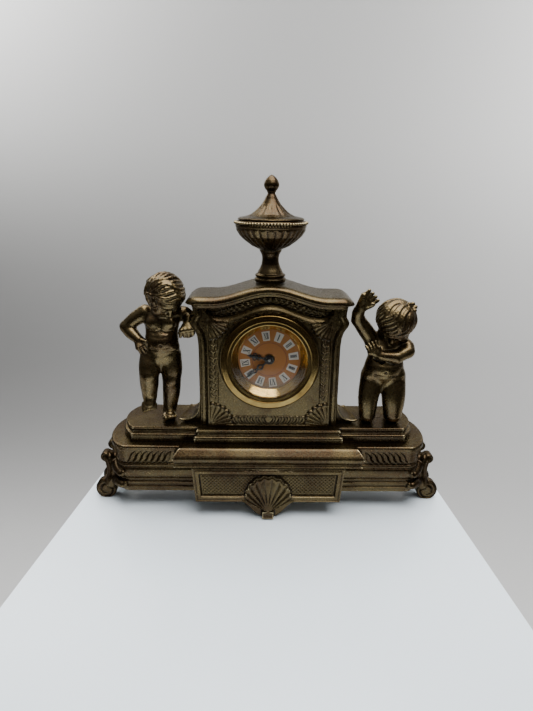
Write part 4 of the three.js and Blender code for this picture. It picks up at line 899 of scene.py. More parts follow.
def frieze_leaf(run, rise, lean):
    """A reeded leaf that lies over in an S, with a sharp back, standing out of the front."""
    rows, columns = 9, 9
    v, u = np.meshgrid(np.linspace(0, 1, rows), np.linspace(-1, 1, columns), indexing="ij")
    t = v - 0.5
    along_x, along_z = run * t + 0.9 * np.sin(2 * np.pi * v), LEAF_TALL * t
    slope = run + 0.9 * 2 * np.pi * np.cos(2 * np.pi * v)
    tangent = unit(coords(slope, LEAF_TALL))
    wide = LEAF_HALF * bulge(v * 0.9 + 0.06, 0.7)
    x = lean * (along_x + u * wide * tangent[..., 1])
    z = along_z - u * wide * tangent[..., 0]
    back = np.clip(1 - np.abs(u + 0.25) / np.where(u > -0.25, 1.25, 0.75), 0, 1)
    y = 0.3 - (rise + 0.3) * back ** 0.8 * bulge(v * 0.94 + 0.04, 0.45)
    front = coords(x, y, z)
    return slab(front[:, ::-1] if lean < 0 else front, [0.8])


def build_base():
    plan = oval(BASE_FLAT, BASE.deep / 2, BASE_BOW)
    outside = dense(rounded(BASE_PROFILE, 0.5), 1.0)
    high, floor = BASE.tall, BASE.tall - BASE_WELL_DEEP
    rim = dense([outside[-1], (high, BASE_WELL)], 2.4)[1:]
    inner = dense([(high, BASE_WELL), (floor, BASE_WELL), (floor, BASE_WALL), (0, BASE_WALL)], 6)[1:]
    rings = [raised(plan(inset), BASE.z0 + z, MID_Y) for z, inset in [*outside, *rim, *inner]]
    build("base", *skin(rings, closed=True), "cast", replaces="base_shell")

    leaf_length, leaf_count = sizes_mm("leaf_length", "leaf_count")
    row = path_row()
    ends = np.array([TABLET.x1 + FRIEZE_CLEAR[0], BASE_FLAT - FRIEZE_CLEAR[1]])
    y, z = BASE.y0 + FRIEZE_SINK, BASE.z0 + FRIEZE_HEIGHT
    for side, word in ((-1, "left"), (1, "right")):
        leaf = pattern_piece("leaf", *frieze_leaf(leaf_length, LEAF_RISE, -side))
        path = pattern_path([(x, y, z) for x in sorted(side * ends)])
        mesh = row.run("frieze", "ornament", path=path, piece=leaf, count=leaf_count, swing=0.0)
        show(f"frieze_leaves_{word}", mesh, "ornament", sharp=60)


# Deck

DECK_BOW = 10.5
BREAK_HALF = 60.5
BREAK_OUT = 5.5
DECK_PROFILE = [
    (0, 0.5), (0.4, 0), (5.2, 0), (6.2, 0.35), (6.6, 1.1), (6.9, 2.6), (8.3, 2.9), (9.6, 2.2), (10.2, 1.8),
    (11.2, 1.8), (11.8, 2.1), (12.0, 2.9), (12.0, 4.2), (12.0, 6),
]
DECK_WALL = 7.0
DECK_PLATE = 4.5


def deck_plan(inset):
    """Bowed ends and a breakfront in the middle of the front, anticlockwise from the front's left."""
    depth = (DECK.deep - BREAK_OUT) / 2
    flat = DECK.wide / 2 - DECK_BOW
    radius = (depth ** 2 + DECK_BOW ** 2) / (2 * DECK_BOW) - inset
    centre = flat + DECK_BOW - radius - inset
    sweep = math.asin((depth - inset) / radius)
    turn = np.linspace(-sweep, sweep, 40)
    end = coords(centre + radius * np.cos(turn), radius * np.sin(turn))
    front, out, half = -(depth - inset), -(depth + BREAK_OUT - inset), BREAK_HALF - inset
    corner = end[0][0]
    line = [(-corner, front), (-half, front), (-half, out), (half, out), (half, front), (corner, front)]
    path = stepped(line, (40, 5, 80, 5, 40))
    back = np.linspace(end[-1], (-end[-1][0], end[-1][1]), 90)[1:-1]
    other = coords(-end[::-1, 0], end[::-1, 1])[:-1]
    return np.concatenate([path, end, back, other])


def build_deck():
    middle = DECK.y1 - (DECK.deep - BREAK_OUT) / 2
    inside = [(DECK.tall - DECK_PLATE, DECK_WALL), (0, DECK_WALL)]
    outside = dense(rounded(DECK_PROFILE, 0.35), 1.0)
    rings = [raised(deck_plan(inset), DECK.z0 + z, middle) for z, inset in [*inside, *outside]]
    build("deck", *skin(rings), "cast", replaces="base_deck")


# Tablet and apron

TABLET_PROFILE = [
    (0, 4), (0, 1.9), (0.3, 1.3), (1.3, 1.3), (1.6, 1.9), (1.8, 2.6), (3.0, 2.4), (4.6, 1.3),
    (6.2, 0.4), (7.8, 0.0), (9.2, 0.35), (10.6, 1.3), (14.2, 4.3), (14.9, 5.0), (15.35, 5.6),
    (15.5, 6.4), (15.5, 7.6), (15.5, 9),
]
TABLET_LAP = 2.4


def tablet_plan(inset, back):
    half, front = TABLET.wide / 2 - inset, TABLET.y0 + inset
    line = [(-half, back), (-half, front), (half, front), (half, back), (-half, back)]
    return stepped(line, (14, 150, 14, 60))


def build_tablet():
    profile = dense(rounded(TABLET_PROFILE, 0.4), 0.8)
    rings = [raised(tablet_plan(inset, BASE.y0 + TABLET_LAP), TABLET.z0 + z) for z, inset in profile]
    build("tablet", *skin(rings), "cast", replaces="front_tablet")


APRON_TAPER = 2.6
APRON_EDGE = 14.0
APRON_RIM = 4.6
APRON_SINK = 1.6
TIP_HALF = 5.5
TIP_RISE = 7.0
TIP_OUT = 4.4
SHELL_HALF = 17.0
SHELL_HINGE = 6.0
SHELL_OPEN = np.radians(72)
SHELL_FAN = np.radians(118)
LATTICE_MIDDLE = 28.0
APRON_LAP = 4.4


def shell_relief(x, z, ribs, hinge, top, out):
    """A fan shell that opens upwards from its hinge: 0 outside it."""
    dx, dz = x, z - hinge
    reach = np.hypot(dx, dz)
    angle = np.arctan2(dx, dz)
    limit = (top - hinge) * (0.63 + 0.37 * np.cos(np.clip(angle * 1.35, -np.pi, np.pi)))
    lobes = angle / SHELL_FAN * ribs
    limit = limit * (0.965 + 0.035 * ridge(lobes))
    share = reach / np.maximum(limit, 1e-6)
    inside = (share < 1) & (np.abs(angle) < SHELL_OPEN)
    dome = 0.36 + 0.64 * np.cos(np.clip((share - 0.34) / 0.72, -1, 1) * np.pi / 2)
    furrow = 0.24 * (1 - ridge(lobes + 0.5)) * ease(share * 2.4)
    lip = 0.12 * hump((share - 0.93) / 0.07)
    fade = ease((SHELL_OPEN - np.abs(angle)) / np.radians(10))
    return np.where(inside, out * (dome - furrow + lip) * fade, 0)


def lattice(u, v, pitch, thin=3):
    """Two crossing sets of narrow ridges."""
    a, b = (u + v) / pitch, (u - v) / pitch
    return np.maximum(ridge(a), ridge(b)) ** thin


def build_apron():
    pitch, rise, ribs = sizes_mm("lattice_pitch", "lattice_rise", "shell_ribs")
    top, face = APRON.z1, APRON.y0 + TIP_OUT
    half = APRON.wide / 2
    v, u = np.meshgrid(np.linspace(0, 1, 112), np.linspace(-1, 1, 341), indexing="ij")
    across = np.abs(u * half)
    dip = ease((across - TIP_HALF) / (SHELL_HALF + 6 - TIP_HALF))
    edge = APRON.z0 + (APRON_EDGE - APRON.z0) * dip
    z = edge + v * (top - edge)
    reach = half - APRON_TAPER * (top - z) / (top - APRON_EDGE)
    x = u * reach
    border = np.minimum(reach - np.abs(x), top - z)
    field = np.minimum(border, z - APRON_EDGE) - APRON_RIM
    out = -APRON_SINK * ease(field / 0.9) + 0.45 * hump((field - 1.7) / 0.8)
    out += -0.5 * ease((0.9 - np.minimum(border, z - edge)) / 0.9)
    out += -0.55 * hump((field + 2.9) / 0.7)
    weave = rise * lattice(x, z - LATTICE_MIDDLE, pitch) * ease((field - 2.3) / 0.5)
    shell = shell_relief(x, z, ribs, APRON.z0 + SHELL_HINGE, top - APRON_RIM - 0.6, TIP_OUT)
    block = TIP_OUT * ease((TIP_HALF - 0.2 - np.abs(x)) / 0.9) * ease((APRON.z0 + TIP_RISE - z) / 0.9)
    block -= 0.7 * hump((z - APRON.z0 - 3.3) / 0.8) * (block > 0.5 * TIP_OUT)
    out = np.where(shell > 0, np.maximum(shell, out), out + weave)
    out = np.where(block > 0.1, np.maximum(out, block), out)
    front = coords(x, face - out, z)
    depths = [face + 0.8, face + 2.4, face + 5, BASE.y0 + APRON_LAP]
    build("apron", *slab(front, depths), "cast", replaces="apron_panel")


# Feet

def spiral_grooves(x, z, pitch, turn):
    """Depth, from 0 to 1, of a groove that winds into the middle."""
    reach = np.hypot(x, z)
    phase = reach / pitch - turn * np.arctan2(z, x) / (2 * np.pi)
    return hump((phase - np.round(phase)) / 0.3) * ease(reach / pitch - 0.45)


FOOT_HALF = 5.5
ROLL_R = 9.0
EAR_R = 4.4
WRAP_SINK = 2.6
SKIRT = 3.4


def build_feet():
    cell, = sizes_mm("scroll_cell")
    for row, toward in (("front", -1), ("rear", 1)):
        box = Span(f"foot_{row}_right")
        middle = box.y0 + FOOT_HALF if row == "front" else box.y1 - FOOT_HALF
        roll = np.array([box.x1 - ROLL_R, middle, box.z0 + ROLL_R - 0.6])
        ear = np.array([box.x1 - 10.6, middle, box.z1 - EAR_R])
        clay = Clay((box.x0 - 10, box.y0 - 20, -2), (box.x1 + 2, box.y1 + 20, box.z1 + 3), cell)
        rolled(clay, roll, ROLL_R, FOOT_HALF, 1, 4.0)
        clay.chain([ear + [-1, 0, -0.5], ear + [-8, 0, -1.5]], [3.6, 4.0], 1.2)
        rolled(clay, ear, EAR_R, FOOT_HALF - 0.4, -1, 2.6)
        stem = spline([ear + [-2.2, 0, -0.5], ear + [-4.4, 0, -9], roll + [-6.4, 0, 14],
                       roll + [-3.8, 0, 5.5]], 9)
        for a, b, r in zip(stem[:-1], stem[1:], np.linspace(3.4, 5.6, 8)):
            for y in (-2.9, 0, 2.9):
                thick = r - 0.1 * y * y / 3
                clay.limb(a + [-1.2, y, 0], b + [-1.2, y, 0], thick, thick, 1.6)
        for y in (-3.2, 0, 3.2):
            clay.chain(stem + [2.6, y, 0.2], np.linspace(1.6, 2.6, len(stem)), 0.5)
        for z, tip, thick, sag in ((31.5, 72, 2.5, -1.8), (22.0, 78, 2.8, 4.5)):
            turn = np.radians(np.linspace(24, tip, 7))
            fall = (1 - (turn - turn[0]) / (turn[-1] - turn[0])) ** 2 * sag
            path = coords(BASE_FLAT + (BASE_BOW - WRAP_SINK) * np.cos(turn),
                          MID_Y + toward * (BASE.deep / 2 - WRAP_SINK) * np.sin(turn), z - fall)
            clay.chain(path, thick * np.array([1.5, 1.6, 1.5, 1.35, 1.2, 1.15, 0.9]), 1.4)
            clay.ball(path[-1] + [-0.6, toward * 0.4, 1.6], 1.9, 0.6)
        clay.field = np.maximum(np.maximum(clay.field, -clay.axes[2]), -base_distance(clay))
        for word, solid in both_sides(*clay.skin()):
            build(f"foot_{row}_{word}_cast", *solid, "ornament", replaces=f"foot_{row}_{word}", sharp=70)


def rolled(clay, at, r, half, winding, pitch):
    """A roll across the depth with a spiral sunk into both its ends."""
    def form(x, y, z):
        dx, dz = x - at[0], z - at[2]
        flat = np.abs(y - at[1]) - (half - 1.5 * spiral_grooves(dx, dz, pitch, winding))
        flat, wall = np.broadcast_arrays(flat, np.hypot(dx, dz) - r)
        a, b = np.maximum(flat + 1.6, 0), np.maximum(wall + 1.6, 0)
        return np.hypot(a, b) + np.minimum(np.maximum(flat, wall) + 1.6, 0) - 1.6

    clay.press(form, at - [r, half, r], at + [r, half, r], 0.5)


def base_distance(clay):
    """How far each point of the grid lies outside the base's skirt, roughly."""
    x, y = clay.axes[0][:, None, None], clay.axes[1][:, None] - MID_Y
    a, b = BASE_BOW - SKIRT, BASE.deep / 2 - SKIRT
    over = np.maximum(np.abs(x) - BASE_FLAT, 0)
    outside = (np.sqrt((over / a) ** 2 + (y / b) ** 2) - 1) * a
    return np.maximum(outside, BASE.z0 - 0.3 - clay.axes[2])


# Case

CASE_HALF = 56.5
CASE_WALL = 4.0
DRUM_R = 32.8
ARCH_HALF = 46.0
CORNICE_RISE = 9.5
BAND_DROP = 4.6
BAND_HALF = 3.3
BAND_END = 47.5
BRACKET = [(0, 0.72), (3.5, 0.62), (6.5, 0.6), (8.5, 0.82), (10.5, 0.98), (12.5, 1.0), (14.5, 0.88),
           (17, 0.56), (20, 0.3), (24, 0.12), (29, 0.03), (34, 0)]


def arch(x):
    """Rise of the cornice above its ends."""
    swell = 1 + np.cos(np.pi * np.clip(x / ARCH_HALF, -1, 1))
    return np.where(np.abs(x) < ARCH_HALF, CORNICE_RISE / 2 * swell, 0)


def build_case():
    low, top = CASE.z0, CASE.z1 - CORNICE_RISE
    bracket = CASE.wide / 2
    v = np.concatenate([np.linspace(0, 0.6, 60, endpoint=False), np.linspace(0.6, 1, 141)])
    v, u = np.meshgrid(v, np.linspace(-1, 1, 341), indexing="ij")
    z = low + v * (top + arch(u * bracket) - low)
    drop_edge, share = np.array(BRACKET).T
    half = CASE_HALF + (bracket - CASE_HALF) * np.interp(top - z, drop_edge, share)
    x = u * half
    drop = top + arch(x) - z
    side = half - np.abs(x)
    out = 0.9 * np.sqrt(np.clip(1 - ((side - 3.4) / 1.9) ** 2, 0, 1))
    out += -0.5 * hump((side - 6.2) / 0.7) - 0.8 * ease((0.8 - side) / 0.8)
    taper = 1 - 0.55 * ease((np.abs(x) - 14) / 30)
    band = (drop - BAND_DROP) / (BAND_HALF * taper)
    strip = ease((1.0 - np.abs(band)) * 7) * ease((BAND_END - np.abs(x)) / 2)
    weave = -0.75 + 0.6 * lattice(x, drop * 1.05, 4.4, 7)
    out = np.where(strip > 0, out * (1 - strip) + strip * weave, out)
    for line in (-1.2, 1.2):
        out += 0.8 * hump((band - line) / 0.22) * ease((BAND_END + 1.5 - np.abs(x)) / 2)
    front = coords(x, CASE.y0 - out, z)
    face, back = CASE.y0, CASE.y1
    depths = [face + 1.0, face + 2.5, face + 6, CASE.cy, back - 5, back - 2, back]
    mesh = mesh_of("case", *slab(front, depths))
    room, near, past = CASE_HALF - CASE_WALL, face + CASE_WALL, back + 2
    plan = np.array([(-room, near), (room, near), (room, past), (-room, past)])
    hollow = skin([raised(plan, h) for h in (low + CASE_WALL + 1, top - CASE_WALL)])
    bore = lathe_front([(0, -60), (DRUM_R, -60), (DRUM_R, 3), (0, 3)], face, 64)
    show("case", bored(mesh, hollow, bore), "plate", replaces="case_body", sharp=45)
    build_scrolls()


def build_scrolls():
    """Sweeps at the foot of the case: a thin curled leaf over a set-back foot, turned up at its end."""
    wide, deep, tall = SCROLL.wide, SCROLL.deep, SCROLL.tall
    slide = spline([(0, 1.0), (0.05, 0.7), (0.16, 0.42), (0.36, 0.24), (0.6, 0.16), (0.8, 0.14),
                    (0.94, 0.17)], 40) * [wide, tall]
    tangent = unit(np.gradient(slide, axis=0))
    under = coords(tangent[:, 1], -tangent[:, 0])
    under[0] = (-0.2, -1)
    sheet = np.clip(slide + under * 1.7, [0, 0], [wide, tall])
    bottom = np.maximum(0.0, sheet[:, 1] - 3.0 * ease((0.9 - slide[:, 0] / wide) / 0.2))
    block = coords(slide[:, 0] * 0.93, np.where(slide[:, 0] < 0.72 * wide, 0, bottom))
    lip = np.array([0.05 * wide, 0.0])
    soft = (slide + sheet) / 2
    edge = [
        (0, soft + (slide - soft) * 0.55, soft + (sheet - soft) * 0.55), (0.4, slide, sheet),
        (1.7, slide, sheet), (2.0, slide + under * 0.25, sheet), (2.2, slide + under * 0.3, block),
    ]
    inside = [(y, slide + under * 0.3, block) for y in np.linspace(3.5, deep - 3.5, 14)]
    rings = []
    for y, over, below in [*edge, *inside, *((deep - y, *rest) for y, *rest in edge[::-1])]:
        loop = np.concatenate([over, [(over[-1] + below[-1]) / 2 + lip], below[::-1]])
        loop = loop * [1 - 0.34 * ease(y / deep), 1] + [SCROLL.x0, SCROLL.z0]
        rings.append(standing(loop, SCROLL.y0 + y))
    rows, size, half = len(rings), len(rings[0]), len(slide)
    faces = quads(rows, size).tolist()
    for base, order in ((0, 1), ((rows - 1) * size, -1)):
        for i in range(half - 1):
            faces.append([base + i, base + i + 1, base + size - 2 - i, base + size - 1 - i][::order])
        faces.append([base + half - 1, base + half, base + half + 1][::order])
    for word, solid in both_sides(np.concatenate(rings), faces):
        show(f"scroll_{word}", tended(mesh_of("scroll", *solid)), "ornament",
             replaces=f"case_scroll_{word}")


CORNICE_PROFILE = [
    (0, 6.2), (0, 5.0), (0.4, 4.6), (2.0, 4.4), (2.5, 3.4), (2.7, 1.6), (3.1, 0.5), (3.8, 0.0),
    (5.0, 0.0), (6.3, 0.4), (7.4, 1.3), (8.2, 2.6), (8.75, 4.2), (9.0, 6.2), (9.0, 8),
]
CORNICE_CORNER = 11.0
CORNER_STEPS = 12
END_STEPS = 40
LONG_STEPS = 150
END_DROP = 2.8


def cornice_plan(inset):
    """A rectangle with rounded corners, anticlockwise from the front's right corner."""
    half, depth = CORNICE.wide / 2 - inset, CORNICE.deep / 2 - inset
    r = min(max(CORNICE_CORNER - inset, 2.0), 0.95 * depth)
    turn = np.radians(np.linspace(-90, 0, CORNER_STEPS))
    near = coords(half - r + r * np.cos(turn), r - depth + r * np.sin(turn))
    far = near[::-1] * [1, -1]
    end = np.linspace(near[-1], far[0], END_STEPS)[1:-1]
    back = np.linspace(far[-1], far[-1] * [-1, 1], LONG_STEPS)[1:-1]
    right = np.concatenate([near, end, far, back])
    return np.concatenate([right, -right])


def build_cornice():
    half, depth = CORNICE.wide / 2, CORNICE.deep / 2
    profile = dense(rounded(CORNICE_PROFILE, 0.5), 0.8)
    crown = [(9.0, inset) for inset in (9.5, 11.5, 14, 17, 20, 23, depth - 0.08)]
    floor = [(0, inset) for inset in (depth - 0.08, 19, 12)]
    rings = []
    for z, inset in [*floor, *profile, *crown]:
        ring = raised(cornice_plan(inset), CORNICE.z0 + z, CORNICE.cy)
        past = np.clip((np.abs(ring[:, 0]) - (half - 10)) / 10, 0, 1)
        ring[:, 2] += arch(ring[:, 0]) - END_DROP * past ** 2 * np.clip((z - 2) / 6, 0, 1)
        rings.append(ring)
    size, last = len(rings[0]), (len(rings) - 1) * len(rings[0])
    faces = quads(len(rings), size).tolist()
    end = 2 * CORNER_STEPS + END_STEPS - 2
    turn = size // 2 + end // 2
    seam = [[i, i + 1, end - 2 - i, end - 1 - i] for i in range(end // 2 - 1)]
    seam += [[end - 1, end, size - 1, 0]]
    seam += [[i, i + 1, size + end - 2 - i, size + end - 1 - i] for i in range(end, turn - 1)]
    faces += [[last + i for i in face] for face in seam] + [face[::-1] for face in seam]
    mesh = tended(mesh_of("cornice", np.concatenate(rings), faces))
    show("cornice_cast", mesh, "crown", replaces="cornice")


# Front plate

PLATE_HOLE = 34.0
PLATE_RING = 40.2
PLATE_ARCH_HALF = 40.0
PLATE_RISE = 10.5
PLATE_TIP = 6.3
PLATE_BEVEL = 3.2
PLATE_SINK = 0.9


def plate_top(x):
    a = np.abs(x)
    valley = PLATE.z1 - PLATE_RISE
    middle = valley + PLATE_RISE / 2 * (1 + np.cos(np.pi * np.clip(a / PLATE_ARCH_HALF, 0, 1)))
    run = np.clip((a - PLATE_ARCH_HALF) / (PLATE.wide / 2 - PLATE_ARCH_HALF), 0, 1)
    return np.where(a < PLATE_ARCH_HALF, middle, valley + PLATE_TIP * (1 - np.cos(np.pi / 2 * run)))


def fan_relief(x, z, corner, toward, radius, ribs):
    """A quarter shell that opens out of a corner: its height and how far inside its edge a point is."""
    dx, dz = (x - corner[0]) * toward[0], (z - corner[1]) * toward[1]
    reach = np.hypot(dx, dz)
    angle = np.clip(np.arctan2(dz, dx) / (np.pi / 2), 0, 1)
    lobe = ridge(angle * ribs)
    limit = radius * (0.93 + 0.07 * lobe)
    share = reach / limit
    body = 0.5 + 0.6 * np.sin(np.pi * np.clip(share, 0, 1) ** 0.9) ** 0.8
    furrow = 0.85 * (1 - lobe) ** 1.5 * ease(share * 2)
    return (body - furrow * 0.7 + 0.25 * hump((share - 0.93) / 0.09)), limit - reach


def build_plate():
    fan_radius, fan_ribs = sizes_mm("fan_radius", "fan_ribs")
    half, low, centre = PLATE.wide / 2, PLATE.z0, DIAL.cz
    over, top = np.linspace(half, -half, 241)[:-1], float(plate_top(half))
    outline = np.concatenate([
        stepped([(-half, low), (half, low), (half, top)], (180, 180)),
        coords(over, plate_top(over)),
        stepped([(-half, top), (-half, low)], (180,)),
    ])
    face = outline.copy()
    face[:, 1] = np.minimum(face[:, 1], plate_top(face[:, 0]) - PLATE_BEVEL)
    start = unit(outline - [0, centre]) * PLATE_HOLE + [0, centre]
    shares = np.concatenate([np.linspace(0, 0.9, 76, endpoint=False), np.linspace(0.9, 1, 16)])
    rings = []
    for share in shares:
        plan = start + (face - start) * share
        out = plate_relief(plan[:, 0], plan[:, 1], fan_radius, fan_ribs)
        rings.append(standing(plan, PLATE.y0 - out))
    for share in (0.12, 0.3, 0.5, 0.7, 0.88, 1):
        rings.append(standing(face + (outline - face) * share, PLATE.y0 + 0.35 + 2.9 * share ** 1.15))
    rings += [standing(plan, PLATE.y1) for plan in (outline, start)]
    build("plate", *skin(rings, closed=True), "plate", replaces="front_plate", sharp=55)
    build_plate_leaves()


def plate_relief(x, z, fan_radius, fan_ribs):
    """Height of the plate's face over its rim."""
    half, low = PLATE.wide / 2, PLATE.z0
    edge = np.minimum(np.minimum(half - np.abs(x), z - low), (plate_top(x) - PLATE_BEVEL - z) * 0.95)
    field = -PLATE_SINK * ease((edge - 1.2) / 0.6)
    field += -0.35 * ease((0.5 - edge) / 0.5)
    reach = np.hypot(x, z - DIAL.cz)
    ring = 0.5 * hump((reach - PLATE_RING) / 0.7)
    rail = 0.5 * hump((edge - 8.6) / 0.5) * ease(reach - PLATE_RING - 1.3) * (z < PLATE.z1 - 14)
    out = field + np.maximum(ring, rail)
    for sx in (-1, 1):
        for bottom in (True, False):
            spot = (sx * (half - 1.4), low + 1.4 if bottom else PLATE.z1 - PLATE_RISE - PLATE_BEVEL + 1.0)
            size = fan_radius if bottom else fan_radius * 0.84
            fan, inside = fan_relief(x, z, spot, (-sx, 1 if bottom else -1), size, fan_ribs)
            out = np.where(inside > 0, np.maximum(out, -PLATE_SINK + 0.3 + fan * ease(inside / 0.5)), out)
            out += -0.6 * hump((inside + 0.6) / 0.7) * (reach > PLATE_RING - 0.2)
    return np.where(edge < 1.1, np.maximum(field, np.minimum(out, 0.1)), out)


def small_leaf(span, wide, rise):
    """A curling leaf with a sunk vein, lying along +X on the front."""
    rows, columns = 5, 9
    v, u = np.meshgrid(np.linspace(-1, 1, rows), np.linspace(0, 1, columns), indexing="ij")
    breadth = wide / 2 * bulge(u ** 0.8 * 0.94 + 0.05, 0.7)
    edge = np.sqrt(np.clip(1 - v * v, 0, 1)) * bulge(u * 0.92 + 0.06, 0.5)
    y = 0.3 - (rise + 0.3) * edge * (1 - 0.45 * hump(v / 0.3))
    return slab(coords((u - 0.1) * span, y, v * breadth + 0.24 * span * np.sin(np.pi * u)), [0.7])


def scroll_leaf(side):
    """A comma-shaped leaf that leans away from the middle and curls over at its head."""
    rows, columns = 6, 14
    middle = spline([(-2.9, -3.3), (-1.2, -2.7), (0.5, -1.2), (1.5, 0.8), (1.3, 2.6), (0.0, 3.2),
                     (-0.9, 2.4)], columns)
    tangent = unit(np.gradient(middle, axis=0))
    normal = coords(-tangent[:, 1], tangent[:, 0])
    along = np.linspace(0, 1, columns)
    breadth = 1.75 * bulge(along * 0.86 + 0.08, 0.8)
    v = np.linspace(-1, 1, rows)[:, None]
    flat = middle[None] + normal[None] * (v * breadth[None])[..., None]
    y = 0.3 - 1.5 * np.sqrt(np.clip(1 - v * v, 0, 1)) * bulge(along * 0.88 + 0.08, 0.5)
    front = coords(side * flat[..., 0], y, flat[..., 1])
    return slab(front if side > 0 else front[::-1], [0.7])


def build_plate_leaves():
    """Leaf bands beside, below and above the dial."""
    row = path_row()
    side = PLATE.wide / 2 - 5.4
    y = PLATE.y0 + PLATE_SINK - 0.1
    x = np.linspace(-27.3, 27.3, 40)
    crown = coords(x, y, plate_top(x) - PLATE_BEVEL - 2.4)
    leaf, vine = small_leaf(5.4, 3.2, 0.8), small_leaf(4.2, 2.3, 0.7)
    low, high, under = PLATE.z0 + 23, PLATE.z1 - 31, PLATE.z0 + 5.2
    lines = {
        "left": ([(-side, y, low), (-side, y, high)], 19, 0.62, leaf),
        "right": ([(side, y, low), (side, y, high)], 19, 0.62, leaf),
        "foot_left": ([(-27.5, y, under), (-3, y, under)], 6, 0.0, scroll_leaf(-1)),
        "foot_right": ([(3, y, under), (27.5, y, under)], 6, 0.0, scroll_leaf(1)),
        "crown_left": (crown[20::-1], 10, 0.5, vine),
        "crown_right": (crown[19:], 10, 0.5, vine),
    }
    for word, (points, count, swing, solid) in lines.items():
        path, piece = pattern_path(points), pattern_piece("leaf", *solid)
        mesh = row.run("leaves", "ornament", path=path, piece=piece, count=count, swing=swing)
        show(f"plate_leaves_{word}", mesh, "ornament", sharp=60)


# Urn

URN_BORE = 1.9
URN_FOOT = [
    (0.98, 0), (1, 0.6), (1, 2.6), (0.9, 3.2), (0.9, 3.8), (0.97, 4.6), (0.97, 5.6), (0.82, 6.6),
    (0.76, 8.4), (0.65, 11), (0.57, 13.6), (0.53, 16.4), (0.525, 18.6), (0.55, 20.6), (0.62, 22.6),
    (0.69, 23.6),
]
URN_BOWL = [
    (0.27, 0), (0.34, 0.02), (0.5, 0.13), (0.68, 0.3), (0.82, 0.47), (0.905, 0.64), (0.935, 0.73),
    (0.93, 0.76), (0.95, 0.79), (0.955, 0.84), (0.93, 0.87), (0.93, 0.97), (0.9, 1), (0.75, 1), (0.5, 1),
]
URN_LID = [
    (0.95, 0), (1, 0.015), (1, 0.06), (0.93, 0.09), (0.66, 0.15), (0.52, 0.22), (0.4, 0.31), (0.3, 0.41),
    (0.21, 0.52), (0.13, 0.64), (0.06, 0.76), (0.015, 0.86), (-0.03, 0.94), (-0.05, 1),
]
URN_KNOB = [
    (0.56, 0), (0.6, 0.07), (0.84, 0.19), (1.0, 0.36), (0.97, 0.52), (0.8, 0.7), (0.52, 0.86),
    (0.22, 0.96),
]
BEAD = [(0.7, -0.72), (1, 0), (0.7, 0.72)]
LID_NECK = 3.8
LID_LEAVES = 12


def shaped(shares, r, z, t):
    """A profile from shares of a radius and of a height."""
    return [(r * a, z + t * b) for a, b in shares]


def build_urn():
    bead_count, bead, gadroons = sizes_mm("bead_count", "bead_radius", "gadroons")
    stand, bowl, lid, knob = (Span(f"urn_{part}") for part in ("foot", "bowl", "lid", "knob"))
    centre = np.array([stand.cx, stand.cy, 0])

    def turned_piece(node, profile, relief=None, count=144):
        path = dense(rounded(profile, 0.45), 0.55)
        loop = [(URN_BORE, path[0][1]), *path, (URN_BORE, path[-1][1])]
        points, faces = lathe(loop, count, relief)
        build(f"{node}_cast", points + centre, faces, "crown", replaces=node)

    turned_piece("urn_foot", shaped([*URN_FOOT, (0.7, stand.tall)], stand.wide / 2, stand.z0, 1))

    r, z, t = bowl.wide / 2, bowl.z0, bowl.tall

    def lobes(angle, radius, height):
        if radius <= URN_BORE + 1:
            return 0
        share = (height - bowl.z0) / bowl.tall
        swell = ease((share - 0.02) / 0.12) * ease((0.73 - share) / 0.05)
        return swell * (0.9 * ridge(angle * gadroons / (2 * np.pi)) ** 0.75 - 0.55)

    turned_piece("urn_bowl", shaped(URN_BOWL, r, z, t), lobes, count=12 * gadroons)
    ball = lathe([(0.02, -bead), *shaped(BEAD, bead, 0, bead), (0.02, bead)], 10, closed=False)
    mesh = round_row().run("beads", "crown", piece=pattern_piece("bead", *ball), count=bead_count,
                           radius=(r - bead) * MM, height=(z + t * 0.925) * MM)
    mesh.transform(Matrix.Translation(centre * MM))
    show("urn_beads", mesh, "crown", sharp=80)

    def leaves(angle, radius, height):
        if radius < URN_BORE + 1:
            return 0
        share = (height - lid.z0) / lid.tall
        zone = ease((share - 0.04) / 0.05) * ease((0.62 - share) / 0.2)
        turn = angle * LID_LEAVES / (2 * np.pi)
        return zone * (0.75 * ridge(turn) ** 0.8 - 0.3 * hump((turn % 1 - 0.5) / 0.12) - 0.3)

    flare = shaped(URN_LID, lid.wide / 2 - LID_NECK, lid.z0, lid.tall)
    turned_piece("urn_lid", [(LID_NECK + a, b) for a, b in flare], leaves, count=192)

    r, z, t = knob.wide / 2, knob.z0, knob.tall
    path = [(0.05, z - 0.8), (r * 0.5, z - 0.8), *shaped(URN_KNOB, r, z, t), (0.05, z + t)]
    points, faces = lathe(dense(rounded(path, 0.6), 0.5), 72, closed=False)
    build("urn_knob_cast", points + centre, faces, "crown", replaces="urn_knob")


# Figures

def axes_of(yaw, pitch, roll):
    """Rows side, ahead and crown of a head, or the camera, that starts facing -Y, in degrees: yaw
    turns it to +X, pitch bows it, roll tips its crown to its side."""
    y, p, r = (math.radians(v) for v in (yaw, pitch, roll))
    ahead = np.array([math.sin(y) * math.cos(p), -math.cos(y) * math.cos(p), -math.sin(p)])
    side = np.array([math.cos(y), math.sin(y), 0.0])
    crown = np.cross(ahead, side)
    c, s = math.cos(r), math.sin(r)
    return np.array([side * c - crown * s, ahead, crown * c + side * s])


